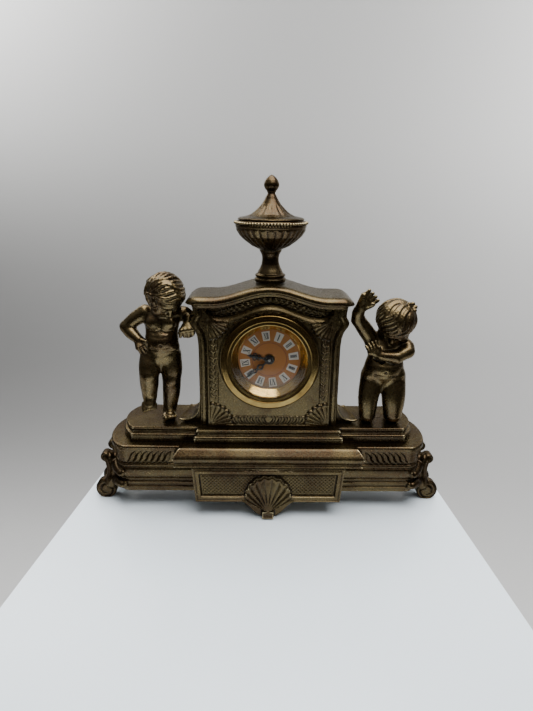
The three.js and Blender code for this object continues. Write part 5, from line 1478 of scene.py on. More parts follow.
def head(clay, at, axes, size, hair):
    """A calm child's head on plain proportions, one unit to its radius, under the given hair."""
    def spot(side, ahead, crown):
        return at + size * (np.array([side, ahead, crown]) @ axes)

    def lump(place, radii, soft, carve=False, bumps=None):
        clay.ball(spot(*place), np.asarray(radii) * size, soft * size, carve, axes, bumps)

    lump((0, -0.1, 0.1), (0.9, 0.98, 0.9), 0.1)
    lump((0, 0.22, -0.3), (0.74, 0.7, 0.74), 0.2)
    for s in (-1, 1):
        lump((0.4 * s, 0.5, -0.42), (0.38, 0.36, 0.38), 0.14)
        lump((0.88 * s, -0.04, -0.14), (0.11, 0.19, 0.25), 0.05)
        lump((0.96 * s, 0.02, -0.12), (0.05, 0.09, 0.13), 0.03, carve=True)
    lump((0, 0.58, -0.82), (0.25, 0.24, 0.2), 0.14)
    lump((0, 0.72, 0.16), (0.52, 0.2, 0.12), 0.16)
    for s in (-1, 1):
        lump((0.33 * s, 0.96, -0.12), (0.17, 0.13, 0.1), 0.12, carve=True)
        lump((0.33 * s, 0.8, -0.13), (0.15, 0.1, 0.09), 0.05)
    clay.limb(spot(0, 0.82, 0.04), spot(0, 1.0, -0.28), 0.08 * size, 0.12 * size, 0.1 * size)
    for s in (-1, 1):
        lump((0.1 * s, 0.92, -0.31), (0.08, 0.09, 0.07), 0.06)
    clay.chain([spot(-0.16, 0.8, -0.53), spot(0, 0.9, -0.5), spot(0.16, 0.8, -0.53)],
               np.array([0.045, 0.07, 0.045]) * size, 0.05 * size)
    clay.chain([spot(-0.12, 0.8, -0.62), spot(0, 0.87, -0.63), spot(0.12, 0.8, -0.62)],
               np.array([0.05, 0.075, 0.05]) * size, 0.05 * size)
    hair(clay, lump, spot, size)


def hair_cap(lump, size, brow, nape):
    """The mass of the hair, open over the face."""
    def edge(_, ahead, crown):
        a, c = ahead / size, crown / size
        open_face = ease((0.3 * a - c - brow) / 0.16) * ease((a - 0.42) / 0.2)
        return -size * (0.5 * open_face + 0.4 * ease((nape - c) / 0.15))

    lump((0, -0.1, 0.12), (0.95, 1.0, 0.92), 0.03, bumps=edge)


def lock(clay, spot, ways, wide, rise=1.0):
    """A strand of hair laid over the head along the given directions."""
    size = np.linalg.norm(spot(1, 0, 0) - spot(0, 0, 0))
    swell = 0.5 + 0.5 * np.sin(np.pi * np.linspace(0.1, 0.94, len(ways)))
    path = unit(ways) * [0.95, 1.0, 0.92] * rise + [0, -0.1, 0.12]
    clay.chain([spot(*p) for p in path], wide * swell * size, 0.02 * size)


def curly_hair(clay, lump, spot, size):
    """Waves combed over the brow from one side to the other, with curls down the sides and the nape."""
    hair_cap(lump, size, -0.02, -0.62)
    for k, tilt in enumerate(np.radians(np.arange(31, 172, 11))):
        lon = np.pi * np.linspace(0.1 + 0.03 * (k % 3), 0.9 - 0.03 * (k % 2), 13)
        lean = tilt + 0.13 * np.sin(4.2 * lon + 0.8 * k) + 0.12 * np.cos(lon)
        ways = coords(-np.cos(lon), np.sin(lon) * np.cos(lean), np.sin(lon) * np.sin(lean))
        lock(clay, spot, ways, 0.1, (0.99, 1.03, 1.0)[k % 3])
    for k, turn in enumerate(np.radians(np.arange(62, 304, 17))):
        down = np.linspace(0.3, -0.6, 7)
        sway = turn + 0.2 * np.sin(6 * down + 2.1 * k)
        lock(clay, spot, coords(-np.sin(sway), np.cos(sway), down), 0.115, (1.0, 1.04)[k % 2])


def combed_hair(knot):
    """Long strands combed in waves away from a knot at the side of the crown."""
    pole = unit(knot)
    u = unit(np.cross(pole, (0.0, 1.0, 0.0)))
    v = np.cross(pole, u)

    def hair(clay, lump, spot, size):
        hair_cap(lump, size, 0.12, -0.66)
        for k in range(30):
            away = np.linspace(0.2, 2.3, 17)
            bend = 2 * np.pi * k / 30 + 0.26 * np.sin(2.6 * away + 0.35 * (k % 5)) * np.sin(away)
            round_pole = np.cos(bend)[:, None] * u + np.sin(bend)[:, None] * v
            ways = np.cos(away)[:, None] * pole + np.sin(away)[:, None] * round_pole
            ahead, up = ways[:, 1], ways[:, 2]
            bare = (up < -0.62) | ((ahead > 0.5) & (up < 0.3 * ahead - 0.1))
            stop = int(np.argmax(bare)) if bare.any() else len(ways)
            if stop > 4:
                lock(clay, spot, ways[:stop], 0.1, (0.98, 1.02, 1.0)[k % 3])

    return hair


def hand(clay, wrist, knuckle, tips, across, thumb, thick=1.0):
    """A chubby hand: a palm, four fingers towards their tips, and a thumb."""
    across = unit(across)
    for k in (-1.5, -0.5, 0.5, 1.5):
        root = knuckle + across * 2.15 * k * thick
        clay.limb(wrist + across * 0.9 * k, root, 2.4 * thick, 1.9 * thick, 0.9)
        bend = root + (tips - knuckle) * 0.5 + across * 0.2 * k
        end = root + (tips - knuckle) * (1.0 - 0.08 * abs(k)) + across * 0.5 * k
        clay.chain([root, bend, end], thick * np.array([1.35, 1.2, 1.0]), 0.22)
    bend = wrist + (thumb - wrist) * 0.55
    clay.chain([wrist, bend, thumb], thick * np.array([2.0, 1.6, 1.2]), 0.6)


def foot(clay, heel, ball, across, scale=1.0):
    """A short round foot with five toes."""
    across, along = unit(across), unit(ball - heel)
    clay.limb(heel, ball, 4.6 * scale, 4.0 * scale, 2)
    for k, r in zip((-2, -1, 0, 1, 2), (1.9, 1.5, 1.4, 1.3, 1.2)):
        root = ball + across * 1.8 * k * scale
        clay.limb(root, root + along * (4.2 - 0.35 * (k + 2)) * scale, (r + 0.2) * scale, r * scale, 0.4)


def torso(clay, chest, belly, hips, lean, girth=1.0):
    """A round-bellied body between given middles, with soft folds."""
    clay.ball(chest, (14.0, 10, 13), 4)
    clay.ball(belly, (13.6 * girth, 11.6, 14), 5)
    clay.ball(hips, (15.0, 12, 10.4), 5)
    for s in (-1, 1):
        clay.ball(chest + [6.0 * s, -6.4, 1.0], (6.2, 4.2, 5.4), 1.8)
        clay.ball(hips + [6.6 * s, 6.0, -1.5], (7.4, 7.2, 7.6), 3)
        clay.ball(chest + [11.6 * s, 0.5, 6.5], (5.6, 5.2, 5.2), 4)
        clay.ball(belly + [10.2 * girth * s, -3.0, -5.5], (4.4, 6, 4.4), 2.5)
    clay.ball(belly + [0, -5.0, -1.0], (10.2 * girth, 8.6, 9.4), 3)
    fold = [(-11, -8.0, -4.5), (-5, -11.2, -6.0), (0, -10.6, -4.6), (5, -11.2, -6.0), (11, -8.0, -4.5)]
    clay.chain(chest + fold, [0.7, 1.1, 0.8, 1.1, 0.7], 1.5, carve=True)
    clay.limb(chest + [0, -11.0, 6], chest + [0, -11.0, -4], 0.6, 0.7, 1.6, carve=True)
    for rise, deep in ((4.8, 0.8), (-6.0, 0.6)):
        fold = [(-9.5, -10.4, rise + 1.0), (lean, -14.0, rise), (9.5, -10.4, rise + 1.0)]
        clay.chain(belly + fold, [deep * 0.7, deep, deep * 0.7], 1.4, carve=True)
    clay.ball(belly + [lean, -13.8, -1.6], (0.9, 1.4, 0.8), 1.0, carve=True)
    fold = [(-13, -6.5, -7.6), (-6.5, -12.0, -10.4), (0, -13.6, -11.8), (6.5, -12.0, -10.4),
            (13, -6.5, -7.6)]
    clay.chain(belly + fold, [1.0, 1.2, 1.4, 1.2, 1.0], 1.2, carve=True)
    clay.limb(chest + [0, 11.0, 6], belly + [0, 12.8, -4], 1.0, 0.8, 2.5, carve=True)


LEFT_FOOT_X = -86.0
RIGHT_FOOT_X = 97.0


def figure_clay(node, foot_x, low, high):
    """Clay with room around a figure's solid, and places in it measured from the figure's feet."""
    box = Span(node)
    origin = np.array([foot_x, MID_Y, DECK.z1])
    return Clay(box.low - low, box.high + high, *sizes_mm("clay_cell")), lambda *place: origin + place


def cast_figure(name, node, clay):
    clay.field = np.maximum(clay.field, Span(node).z0 - clay.axes[2])
    build(name, *clay.skin(), "figure", replaces=node, sharp=80)


def build_left_figure():
    clay, at = figure_clay("putto_left", LEFT_FOOT_X, (3, 4, 2), (5, 4, 3))
    torso(clay, at(-1.4, -1, 83), at(-2.0, -1.6, 68.5), at(-3.0, -0.4, 56.5), 1)
    clay.limb(at(-0.2, -0.5, 89), at(2, -4, 99), 7.0, 6.6, 4)
    # Arm set on the hip
    clay.bend([at(-14.5, -0.8, 91), at(-23, -0.6, 85.4), at(-30.4, -0.8, 79)], [6.6, 6.0, 5.2], 2.4)
    clay.bend([at(-30.4, -0.8, 79), at(-26, -3.4, 74.6), at(-19.4, -8.2, 70.2)], [5.2, 5.4, 3.9], 1.6)
    hand(clay, at(-19.2, -8.4, 70.0), at(-16.2, -11.2, 66.0), at(-13.4, -10.4, 61.4), (0.8, 0.45, 0.4),
         at(-13.2, -11.8, 69.6), 1.15)
    # Arm that hangs beside the case
    clay.chain([at(10.2, 0, 91), at(16.6, 1.6, 89.6), at(20.4, 1.2, 87.2)], [6.2, 5.6, 5.2], 2.4)
    clay.chain([at(20.4, 1.2, 87.2), at(21.2, -4.6, 85.6), at(21.0, -9.4, 83.4)], [5.2, 5.0, 4.4], 1.6)
    clay.ball(at(20.6, -10.8, 78.8), (6.4, 4.6, 6.2), 1.8)
    hand(clay, at(21.0, -11.0, 83.0), at(20.6, -14.4, 80.2), at(20.0, -14.2, 75.0), (1, 0.1, 0.15),
         at(14.6, -13.6, 77.6), 1.35)
    # Raised leg
    clay.bend([at(-10.8, -2.4, 54.5), at(-11.9, -6.6, 47.4), at(-12.4, -9.0, 40.4), at(-12.8, -8.2, 31.5),
               at(-13.2, -7.4, 22.5)], [9.6, 9.0, 8.0, 7.5, 6.0], 3)
    clay.ball(at(-12.4, -13.4, 40.6), (4.6, 4.0, 4.8), 3)
    foot(clay, at(-13.2, -6.8, 21.4), at(-12.8, -10.6, 15.2), (1, 0, 0), 1.22)
    # Standing leg
    clay.bend([at(3.4, -0.8, 54), at(5.0, -2.6, 45), at(5.0, -3.6, 35), at(4.2, -2.6, 23.5),
               at(2.2, -1.6, 9)], [9.6, 9.0, 7.7, 7.3, 5.7], 3)
    clay.ball(at(5.0, -8.0, 34.6), (4.4, 3.8, 4.8), 3)
    foot(clay, at(0.8, 0.4, 4.8), at(3.0, -7.2, 4.0), (1, 0.25, 0), 1.15)
    clay.ball(at(1.4, -3, -3.0), (9.5, 10.5, 4.2), 1.5)
    head(clay, at(3.2, -7.4, 106.0), axes_of(36, 46, 5), 15.3, curly_hair)
    cast_figure("figure_left", "putto_left", clay)


def build_right_figure():
    clay, at = figure_clay("putto_right", RIGHT_FOOT_X, (6, 4, 2), (3, 4, 6))
    torso(clay, at(0, -0.6, 60), at(-1, -2.0, 47.5), at(-1.5, 0.6, 40), -1, 1.2)
    clay.limb(at(0.8, -0.8, 66), at(3.2, -4, 77), 7.6, 7.2, 4)
    # Raised arm with an open hand
    clay.bend([at(-10.6, 0.6, 67.6), at(-18.2, 0.9, 78), at(-24.6, 0.4, 86.4)], [6.6, 6.4, 5.5], 2.4)
    clay.bend([at(-24.6, 0.4, 86.4), at(-25.2, -1.4, 92.4), at(-23.4, -3.0, 97.6)], [5.5, 5.1, 4.2], 1.6)
    hand(clay, at(-23.0, -3.0, 98.4), at(-18.8, -4.0, 103.6), at(-13.8, -4.8, 108.0), (0.68, 0.1, -0.72),
         at(-14.6, -5.6, 100.4), 1.5)
    # Arm across the chest
    clay.chain([at(13.2, 0, 67), at(16.0, -3.6, 64.4), at(16.2, -7, 62)], [6.4, 5.9, 5.6], 2.4)
    clay.chain([at(16.2, -7, 62), at(6, -12.4, 58.6), at(-6.6, -14.0, 60.2)], [5.6, 5.4, 4.0], 1.6)
    hand(clay, at(-7.4, -13.8, 60.6), at(-12.6, -12.4, 64.0), at(-15.2, -9.4, 69.4), (0.75, -0.3, 0.5),
         at(-9.2, -14.4, 67.4), 1.15)
    # Thighs and shins
    clay.bend([at(-9.8, -1.0, 38), at(-13.0, -6.4, 22), at(-13.6, -9.4, 6.8)], [9.9, 8.6, 6.7], 3)
    clay.bend([at(7.8, -1.0, 38), at(8.0, -6.4, 22), at(7.8, -9.4, 7.4)], [10.3, 9.8, 7.6], 3)
    clay.chain([at(-13.4, -6, 5.4), at(-12.0, 2, 5.8), at(-10.4, 11, 4.2)], [5.6, 6.0, 4.2], 2)
    clay.chain([at(7.2, -6, 5.8), at(9.4, 2, 6.0), at(13, 10, 4.2)], [6.2, 6.4, 4.2], 2)
    clay.chain([at(-2.4, -18, 33), at(-3.2, -16, 20), at(-3.8, -14, 4)], [0.9, 1.8, 2.4], 1.5, carve=True)
    foot(clay, at(-10.4, 10.4, 4.2), at(-10, 14.2, 3.0), (1, 0, 0))
    foot(clay, at(13, 10, 4.4), at(14.6, 13.2, 3.2), (1, -0.3, 0))
    clay.ball(at(-2, 1, -3.6), (20, 11, 4.0), 1.5)
    middle, knot = at(4.4, -5.4, 86.0), at(14.0, -8.4, 97.6)
    axes = axes_of(-22, 56, 8)
    head(clay, middle, axes, 16.0, combed_hair(axes @ (knot - middle)))
    # Knot of hair with a rosette
    clay.ball(knot, (5.4, 5.0, 4.6), 1.2)
    out = unit([0.3, -0.78, 0.55])
    u = unit(np.cross(out, (0, 0, 1.0)))
    w = np.cross(u, out)
    for k in range(6):
        angle = 2 * math.pi * k / 6
        clay.ball(knot + out * 3.8 + 3.3 * (u * math.cos(angle) + w * math.sin(angle)), 1.75, 0.2)
    clay.ball(knot + out * 5.2, 1.2, 0.3, carve=True)
    cast_figure("figure_right", "putto_right", clay)


# Dial

INSERT_TURN = 8.5
HOURS = ["XII", "I", "II", "III", "IIII", "V", "VI", "VII", "VIII", "IX", "X", "XI"]
DIAL_FACE = DIAL.y0
DIAL_HOLE = 2.9
LETTER_SHARE = 0.66
MINUTE_LINE = 23.9
BEZEL_EYE = 30.2
SURROUND_EYE = 25.1


def on_dial(points):
    """From dial coordinates, X right, Y up and Z out of the dial's face, to the clock's."""
    turn = math.radians(INSERT_TURN)
    x = points[:, 0] * math.cos(turn) - points[:, 1] * math.sin(turn)
    z = points[:, 0] * math.sin(turn) + points[:, 1] * math.cos(turn)
    return coords(x, DIAL_FACE - points[:, 2], DIAL.cz + z)


def plate_solid(outline, low, high):
    """A flat solid over an anticlockwise outline."""
    return skin([raised(np.asarray(outline), h) for h in (low, high)])


def numeral_strokes(text, tall):
    """Roman letters as strokes: (start, end, width), centred, upright."""
    heavy, light, gap, h = 0.17 * tall, 0.06 * tall, 0.1 * tall, tall / 2
    slim, broad = 0.16 * tall, 0.62 * tall
    letters = {
        "I": (slim, [(slim / 2, slim / 2, heavy)]),
        "V": (broad, [(heavy / 2, broad / 2, heavy), (broad - light, broad / 2, light)]),
        "X": (broad, [(heavy / 2, broad - heavy / 2, heavy), (broad - light, light, light)]),
    }
    total = sum(letters[c][0] for c in text) + gap * (len(text) - 1)
    strokes, x = [], -total / 2
    for c in text:
        wide, lines = letters[c]
        strokes += [((x + top, h), (x + low, -h), width) for top, low, width in lines]
        x += wide + gap
    half = total / 2 + 0.02 * tall
    return strokes + [((-half, end), (half, end), light) for end in (-h, h)]


def stroke_solid(start, end, width, low, high):
    along = unit(end - start)
    side = np.array([-along[1], along[0]]) * width / 2
    return plate_solid([start - side, end - side, end + side, start + side], low, high)


def turned_solid(solid, angle, radius):
    """A flat dial piece moved to its hour, upright along the radius."""
    points, faces = solid
    a = math.radians(angle)
    up, right = np.array([math.sin(a), math.cos(a)]), np.array([math.cos(a), -math.sin(a)])
    flat = radius * up + points[:, :1] * right + points[:, 1:2] * up
    return np.concatenate([flat, points[:, 2:]], 1), faces


def build_dial():
    radius, inner = sizes_mm("numeral_radius", "inner_circle")
    wide, tall = sizes_mm("cartouche_wide", "cartouche_tall")
    rim, back = DIAL.wide / 2, -DIAL.deep
    face = dense([(DIAL_HOLE, back), (rim, back), (rim, 0), (DIAL_HOLE, 0)], 1.6)[:-1]
    build("dial_plate", *lathe_front(face, DIAL_FACE), "dial", replaces="dial")

    h, top, foot_half = tall / 2, wide / 2 * 1.1, wide / 2 * 0.9
    outline = [(0, -h), (foot_half, -h), (top, h), (-top, h), (-foot_half, -h), (0, -h)]
    label = plate_solid(rounded(outline, 0.4)[:-1], 0.02, 0.1)
    dial_row("cartouches", "cartouche", turned_solid(label, 90, 0), 12, radius)

    solids = []
    letters = tall * LETTER_SHARE
    for hour, text in enumerate(HOURS):
        squeeze = min(1.0, wide * 0.8 / (0.5 * len(text) * letters + 0.1))
        for start, end, width in numeral_strokes(text, letters):
            ends = np.array([start, end]) * [squeeze, 1]
            stroke = stroke_solid(*ends, width * max(0.5, squeeze ** 0.7), 0.1, 0.15)
            solids.append(turned_solid(stroke, hour * 30, radius))
    dial_print("numerals", "ink", solids)

    lines = []
    for r, w in ((inner, 0.5), (inner + 1.1, 0.16), (MINUTE_LINE, 0.12)):
        near, far = r - w / 2, r + w / 2
        lines.append(lathe([(near, 0.01), (far, 0.01), (far, 0.06), (near, 0.06)], 128))
    dial_print("dial_lines", "line", lines)

    tick = plate_solid([(-0.4, -0.1), (0.4, -0.1), (0.4, 0.1), (-0.4, 0.1)], 0.01, 0.06)
    dial_row("minute_marks", "line", tick, 60, MINUTE_LINE + 0.5)


def dial_print(name, finish, solids):
    """Flat pieces on the dial."""
    points, faces = joined(solids)
    build(name, on_dial(points), faces, finish)


def dial_row(name, finish, solid, count, radius):
    """Flat pieces repeated around the dial."""
    piece = pattern_piece("pattern", *solid)
    mesh = round_row().run(name, finish, piece=piece, count=count, radius=radius * MM, height=0.0)
    move_points(mesh, on_dial(points_of(mesh)))
    show(name, mesh, finish)


def build_bezel():
    """The bezel, the cone between it and the dial, and the glass."""
    r, tall, eye = BEZEL.wide / 2, BEZEL.deep, BEZEL_EYE
    profile = rounded([
        (r - 3, 0), (r - 0.3, 0), (r, 0.4), (r, tall - 0.7), (r - 0.3, tall - 0.25), (r - 0.7, tall - 0.1),
        (r - 0.9, tall), (r - 4.9, tall), (r - 5.1, tall - 0.2), (r - 5.15, tall - 1.6),
        (eye, tall - 1.8), (eye, 1.4), (eye + 1.0, 1.2), (eye + 1.2, 0.0), (r - 3, 0),
    ], 0.14, 3)
    build("bezel_ring", *lathe_front(dense(profile, 0.5)[:-1], BEZEL.y1, 160), "ring",
          replaces="bezel", sharp=20)

    rim, deep, eye = SURROUND.wide / 2, SURROUND.deep, SURROUND_EYE
    cone = rounded([(eye, 0), (rim, 0), (rim, deep), (rim - 0.4, deep), (rim - 0.45, 5.5),
                    (eye + 0.4, 0.5), (eye + 0.1, 0.3), (eye, 0)], 0.12)
    build("rehaut", *lathe_front(dense(cone, 0.5)[:-1], SURROUND.y1, 160), "lacquer",
          replaces="dial_surround", sharp=25)

    rim, tall = LENS.wide / 2, LENS.deep
    flat = [(0.02, 0.0), (rim * 0.5, 0.0), (rim, 0.0)]
    dome = [(max(rim * s, 0.02), 1.0 + (tall - 1.0) * (1 - s * s)) for s in np.linspace(1, 0, 22)]
    build("lens_glass_dome", *lathe_front(flat + dome, LENS.y1), "glass", replaces="lens")


# Hands

def hand_outline(path, boss, holes):
    """A symmetrical pierced hand along +Y, from [distance, half width] points: outline and openings."""
    path = spline(path, 70)
    right = coords(np.maximum(path[:, 1], 0.05), path[:, 0])
    left = right[::-1] * [-1, 1]
    lean = math.asin(min(path[0][1] / boss, 0.9))
    arc = np.linspace(math.pi / 2 + lean, math.pi * 2.5 - lean, 40)
    ring = boss * coords(np.cos(arc), np.sin(arc))
    turn = np.linspace(0, 2 * np.pi, 24, endpoint=False)
    circle = coords(np.cos(turn), np.sin(turn))
    openings = [circle * [rx, ry] + [x, y] for x, y, rx, ry in holes]
    return np.concatenate([ring, right, left]), openings


HOUR_PATH = [
    (4.0, 0.8), (5.6, 0.75), (6.8, 1.0), (8.0, 2.3), (9.0, 2.6), (9.9, 1.7), (10.9, 2.7), (11.9, 3.4),
    (12.9, 2.6), (13.7, 1.2), (14.6, 1.1), (15.3, 1.5), (16.2, 0.9), (18.2, 0.08),
]
HOUR_HOLES = [(-1.2, 8.8, 0.6, 0.8), (1.2, 8.8, 0.6, 0.8), (-1.75, 11.8, 0.8, 0.8), (1.75, 11.8, 0.8, 0.8)]
MINUTE_PATH = [
    (3.0, 0.7), (5.2, 0.65), (6.6, 1.1), (8.2, 2.2), (9.6, 2.6), (11.0, 2.0), (12.4, 1.0), (13.4, 1.3),
    (14.8, 1.9), (16.2, 1.4), (17.4, 0.7), (18.6, 0.9), (20.0, 1.05), (21.6, 0.7), (24.3, 0.08),
]
MINUTE_HOLES = [(0, 9.4, 1.1, 1.6), (0, 14.7, 0.6, 0.8)]
SHOWN_HOUR, SHOWN_MINUTE = 9, 40
NUT_EYE = 1.35


def flat_mesh(name, outlines, thick):
    """A flat plate with openings, from outlines, its edges slightly rounded."""
    curve = bpy.data.curves.new(name, "CURVE")
    curve.dimensions, curve.fill_mode = "2D", "BOTH"
    curve.extrude, curve.bevel_depth, curve.bevel_resolution = thick / 2 * MM * 0.7, thick * 0.15 * MM, 1
    for outline in outlines:
        line = curve.splines.new("POLY")
        line.points.add(len(outline) - 1)
        for point, (x, y) in zip(line.points, outline):
            point.co = (x * MM, y * MM, 0, 1)
        line.use_cyclic_u = True
    thing = linked(name, curve)
    mesh = evaluated(thing)
    bpy.data.objects.remove(thing)
    return mesh


def build_hands():
    for word, hours, path, boss, holes, eye in (
            ("hour", SHOWN_HOUR + SHOWN_MINUTE / 60, HOUR_PATH, 3.9, HOUR_HOLES, 2.5),
            ("minute", SHOWN_MINUTE / 5, MINUTE_PATH, 2.9, MINUTE_HOLES, 1.4)):
        box = Span(f"{word}_hand")
        outer, openings = hand_outline(path, boss, [*holes, (0, 0, eye, eye)])
        mesh = flat_mesh(word, [outer, *openings], box.deep)
        points, _ = turned_solid((points_of(mesh), None), hours * 30, 0)
        move_points(mesh, on_dial(points + [0, 0, DIAL_FACE - box.cy]))
        show(f"{word}_hand_blade", tended(mesh, 1e-6), "hand", body=f"{word}_hand_set",
             replaces=f"{word}_hand")
    nut = Span("hand_nut")
    r, deep = nut.wide / 2, nut.deep
    profile = [(NUT_EYE, 0), (r, 0), (r, deep * 0.6), (r * 0.8, deep), (NUT_EYE, deep), (NUT_EYE, 0)]
    build("hand_nut_turned", *lathe_front(rounded(profile, 0.2)[:-1], nut.y1, 48), "hand",
          body="minute_hand_set", replaces="hand_nut")


# Back and movement

def refined(node, finish, body, bevel):
    """A node's own shape with merged points and softened edges."""
    mesh = frame["nodes"][node].data.copy()
    mesh.name = node
    work = bmesh.new()
    work.from_mesh(mesh)
    bmesh.ops.remove_doubles(work, verts=work.verts, dist=2e-6)
    bmesh.ops.dissolve_limit(work, angle_limit=math.radians(2), verts=work.verts, edges=work.edges)
    sharp = [e for e in work.edges if len(e.link_faces) == 2 and e.calc_face_angle(0) > math.radians(32)]
    bmesh.ops.bevel(work, geom=sharp, offset=bevel * MM, segments=2, affect="EDGES", clamp_overlap=True)
    work.to_mesh(mesh)
    work.free()
    show(f"{node}_soft", mesh, finish, body=body, replaces=node, sharp=14)
    mesh.attributes["relief"].data.foreach_set("value", np.full(len(mesh.vertices), 0.5, np.float32))


def build_back():
    """Rear cover, the drum's cap and the controls."""
    refined("rear_cover", "ring", ROOT, 0.5)
    refined("winding_key", "lacquer", "winding_set", 0.35)
    refined("drum_cap", "ring", ROOT, 0.3)
    refined("set_knob", "lacquer", "minute_hand_set", 0.25)


def finish_rest():
    """Every solid still showing gets the first finish of its slot."""
    plain = {slot: finish for finish, (slot, _) in reversed(FINISHES.items())}
    slots = {entry["node"]: entry["material_slot"] for entry in frame["record"]["subparts"]}
    for name, thing in frame["nodes"].items():
        if thing.hide_render:
            continue
        for holder in thing.material_slots:
            holder.material = finish_named(plain[slots[name]])


# Stage

IMAGE = (533, 711)
FOCAL_PX = 534.0
SENSOR = 36.0
EYE = (-8.7, -419.2, 260.0)
EYE_YAW, EYE_PITCH, EYE_ROLL = 0.89, 17.5, 0.78
TABLE_CORNERS = [(-196.5, -345), (174.5, -345), (153, 44), (-155, 44)]
TABLE_EDGE = [(-330, 0), (-3, 0), (-1.2, 0.3), (-0.3, 1.0), (0, 2.4)]
WALL_SECTION = [(-330, -330), (300, -330), (760, -300), (960, -80), (1010, 400), (1020, 1200),
                (1020, 2600)]
WALL_HALF = 3000
ROOM_UP = (0, 0.25, 0.97)
ROOM_LIGHT = [(0.0, (0.06, 0.055, 0.05)), (0.6, (0.62, 0.62, 0.62))]
ROOM_STRENGTH = 0.66


def build_camera():
    side, ahead, up = axes_of(180 - EYE_YAW, EYE_PITCH, EYE_ROLL)
    data = bpy.data.cameras.new("photo_eye")
    data.sensor_fit, data.sensor_width = "AUTO", SENSOR
    data.lens = FOCAL_PX / IMAGE[1] * SENSOR
    data.clip_start, data.clip_end = 0.02, 30
    camera = linked("photo_eye", data)
    turn = Matrix(coords(-side, up, -ahead)).to_4x4()
    camera.matrix_world = Matrix.Translation([v * MM for v in EYE]) @ turn
    bpy.context.scene.camera = camera


def lamp(name, at, aim, size, watts, spread=180):
    """A lit rectangle, in metres and watts."""
    data = bpy.data.lights.new(name, "AREA")
    data.shape, data.size, data.size_y, data.energy = "RECTANGLE", size[0], size[1], watts
    data.spread = math.radians(spread)
    turn = (Vector(at) - Vector(aim)).to_track_quat("Z", "Y").to_matrix().to_4x4()
    linked(name, data).matrix_world = Matrix.Translation(at) @ turn


def build_room():
    """Light from all around, by how far a direction points up."""
    world = bpy.data.worlds.new("room")
    bpy.context.scene.world = world
    world.use_nodes = True
    room = Tree(world.node_tree)
    way = room.node("ShaderNodeTexCoord", {}, {}, "Generated")
    rise = room.node("ShaderNodeVectorMath", {"operation": "DOT_PRODUCT"}, {0: way, 1: ROOM_UP}, "Value")
    tone = room.node("ShaderNodeValToRGB", {}, {"Fac": rise}).socket
    for stop, (place, colour) in zip(tone.node.color_ramp.elements, ROOM_LIGHT):
        stop.position, stop.color = place, (*colour, 1)
    light = room.graph.nodes["Background"].inputs
    light["Strength"].default_value = ROOM_STRENGTH
    room.graph.links.new(tone, light["Color"])


def build_stage():
    look = bpy.context.scene.clock_colours
    corners = np.array(TABLE_CORNERS, float)
    outward = np.sign(corners - corners.mean(0))
    table = mesh_of("table", *skin([raised(corners - outward * inset, z) for z, inset in TABLE_EDGE]))
    table.materials.append(plain_table("table_white", look.table_white))
    section = spline(WALL_SECTION, 50)
    back = np.stack([np.insert(section, 0, x, axis=1) for x in (-WALL_HALF, WALL_HALF)], 1)
    wall = mesh_of("wall", back.reshape(-1, 3), quads(len(section), 2, columns_closed=False).tolist())
    wall.materials.append(curved_wall("wall_grey", look.wall_grey))
    for mesh in (table, wall):
        mesh.shade_smooth()
    table.set_sharp_from_angle(angle=math.radians(30))
    linked("table", table)
    linked("wall", wall)
    lamp("sky", (0.1, 0.15, 1.9), (0, 0.1, 0.0), (3.0, 1.8), 114)
    lamp("back_left", (-1.2, 0.3, 1.2), (-0.9, 1.0, 1.0), (0.4, 0.4), 24, 80)
    lamp("back_right", (1.4, 0.2, 1.2), (1.0, 1.0, 0.5), (0.6, 0.6), 18, 80)
    build_room()


# Operators

class ClockOperator(bpy.types.Operator):
    bl_options = {"REGISTER", "UNDO"}
    builders = ()

    def execute(self, context):
        for builder in self.builders:
            builder()
        return {"FINISHED"}


class CLOCK_OT_base(ClockOperator):
    """Base shell with its ribs and leaf band, the deck, the tablet, the apron and the feet"""
    bl_idname = "clock.base"
    bl_label = "Base"
    builders = (build_base, build_deck, build_tablet, build_apron, build_feet)


class CLOCK_OT_case(ClockOperator):
    """Case body, bottom scrolls, cornice and front plate"""
    bl_idname = "clock.case"
    bl_label = "Case"
    builders = (build_case, build_cornice, build_plate)


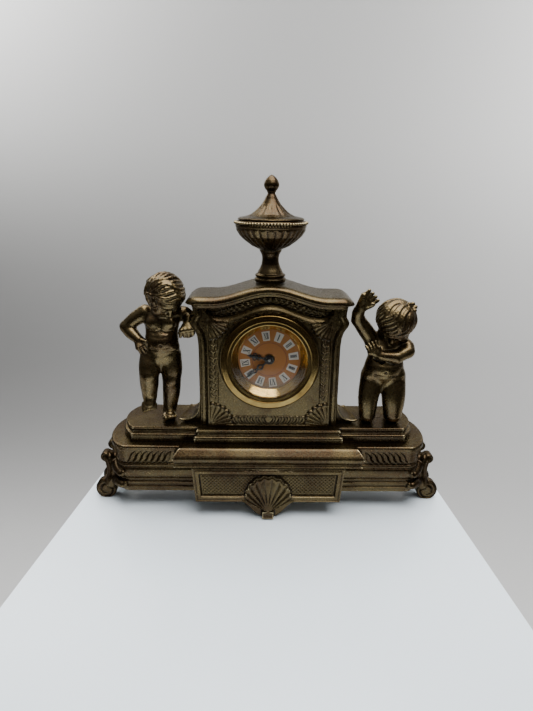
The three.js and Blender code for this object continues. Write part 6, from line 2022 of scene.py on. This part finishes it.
class CLOCK_OT_urn(ClockOperator):
    """Urn on the cornice"""
    bl_idname = "clock.urn"
    bl_label = "Urn"
    builders = (build_urn,)


class CLOCK_OT_figures(ClockOperator):
    """Standing and kneeling child figures"""
    bl_idname = "clock.figures"
    bl_label = "Figures"
    builders = (build_left_figure, build_right_figure)


class CLOCK_OT_dial(ClockOperator):
    """Dial, bezel, glass and hands"""
    bl_idname = "clock.dial"
    bl_label = "Dial"
    builders = (build_dial, build_bezel, build_hands)


class CLOCK_OT_back(ClockOperator):
    """Rear cover, cap and controls, and the finish of the movement"""
    bl_idname = "clock.back"
    bl_label = "Back and movement"
    builders = (build_back, finish_rest)


class CLOCK_OT_stage(ClockOperator):
    """Table, wall, lights and camera"""
    bl_idname = "clock.stage"
    bl_label = "Stage"
    builders = (build_camera, build_stage)


OPERATORS = (CLOCK_OT_base, CLOCK_OT_case, CLOCK_OT_urn, CLOCK_OT_figures, CLOCK_OT_dial,
             CLOCK_OT_back, CLOCK_OT_stage)


class CLOCK_PT_panel(bpy.types.Panel):
    """Lists the clock's builders and settings"""
    bl_idname = "CLOCK_PT_panel"
    bl_label = "Mantel clock"
    bl_space_type = "VIEW_3D"
    bl_region_type = "UI"
    bl_category = "Clock"

    def draw(self, context):
        for operator in OPERATORS:
            self.layout.operator(operator.bl_idname)
        for group in (context.scene.clock_sizes, context.scene.clock_colours):
            for key in group.__annotations__:
                self.layout.prop(group, key)


CLASSES = (ClockSizes, ClockColours, *OPERATORS, CLOCK_PT_panel)


def register():
    for cls in CLASSES:
        bpy.utils.register_class(cls)
    bpy.types.Scene.clock_sizes = bpy.props.PointerProperty(type=ClockSizes)
    bpy.types.Scene.clock_colours = bpy.props.PointerProperty(type=ClockColours)


def unregister():
    del bpy.types.Scene.clock_colours
    del bpy.types.Scene.clock_sizes
    for cls in reversed(CLASSES):
        bpy.utils.unregister_class(cls)


def main():
    register()
    for operator in OPERATORS:
        group, name = operator.bl_idname.split(".")
        getattr(getattr(bpy.ops, group), name)()


if __name__ == "__main__":
    main()
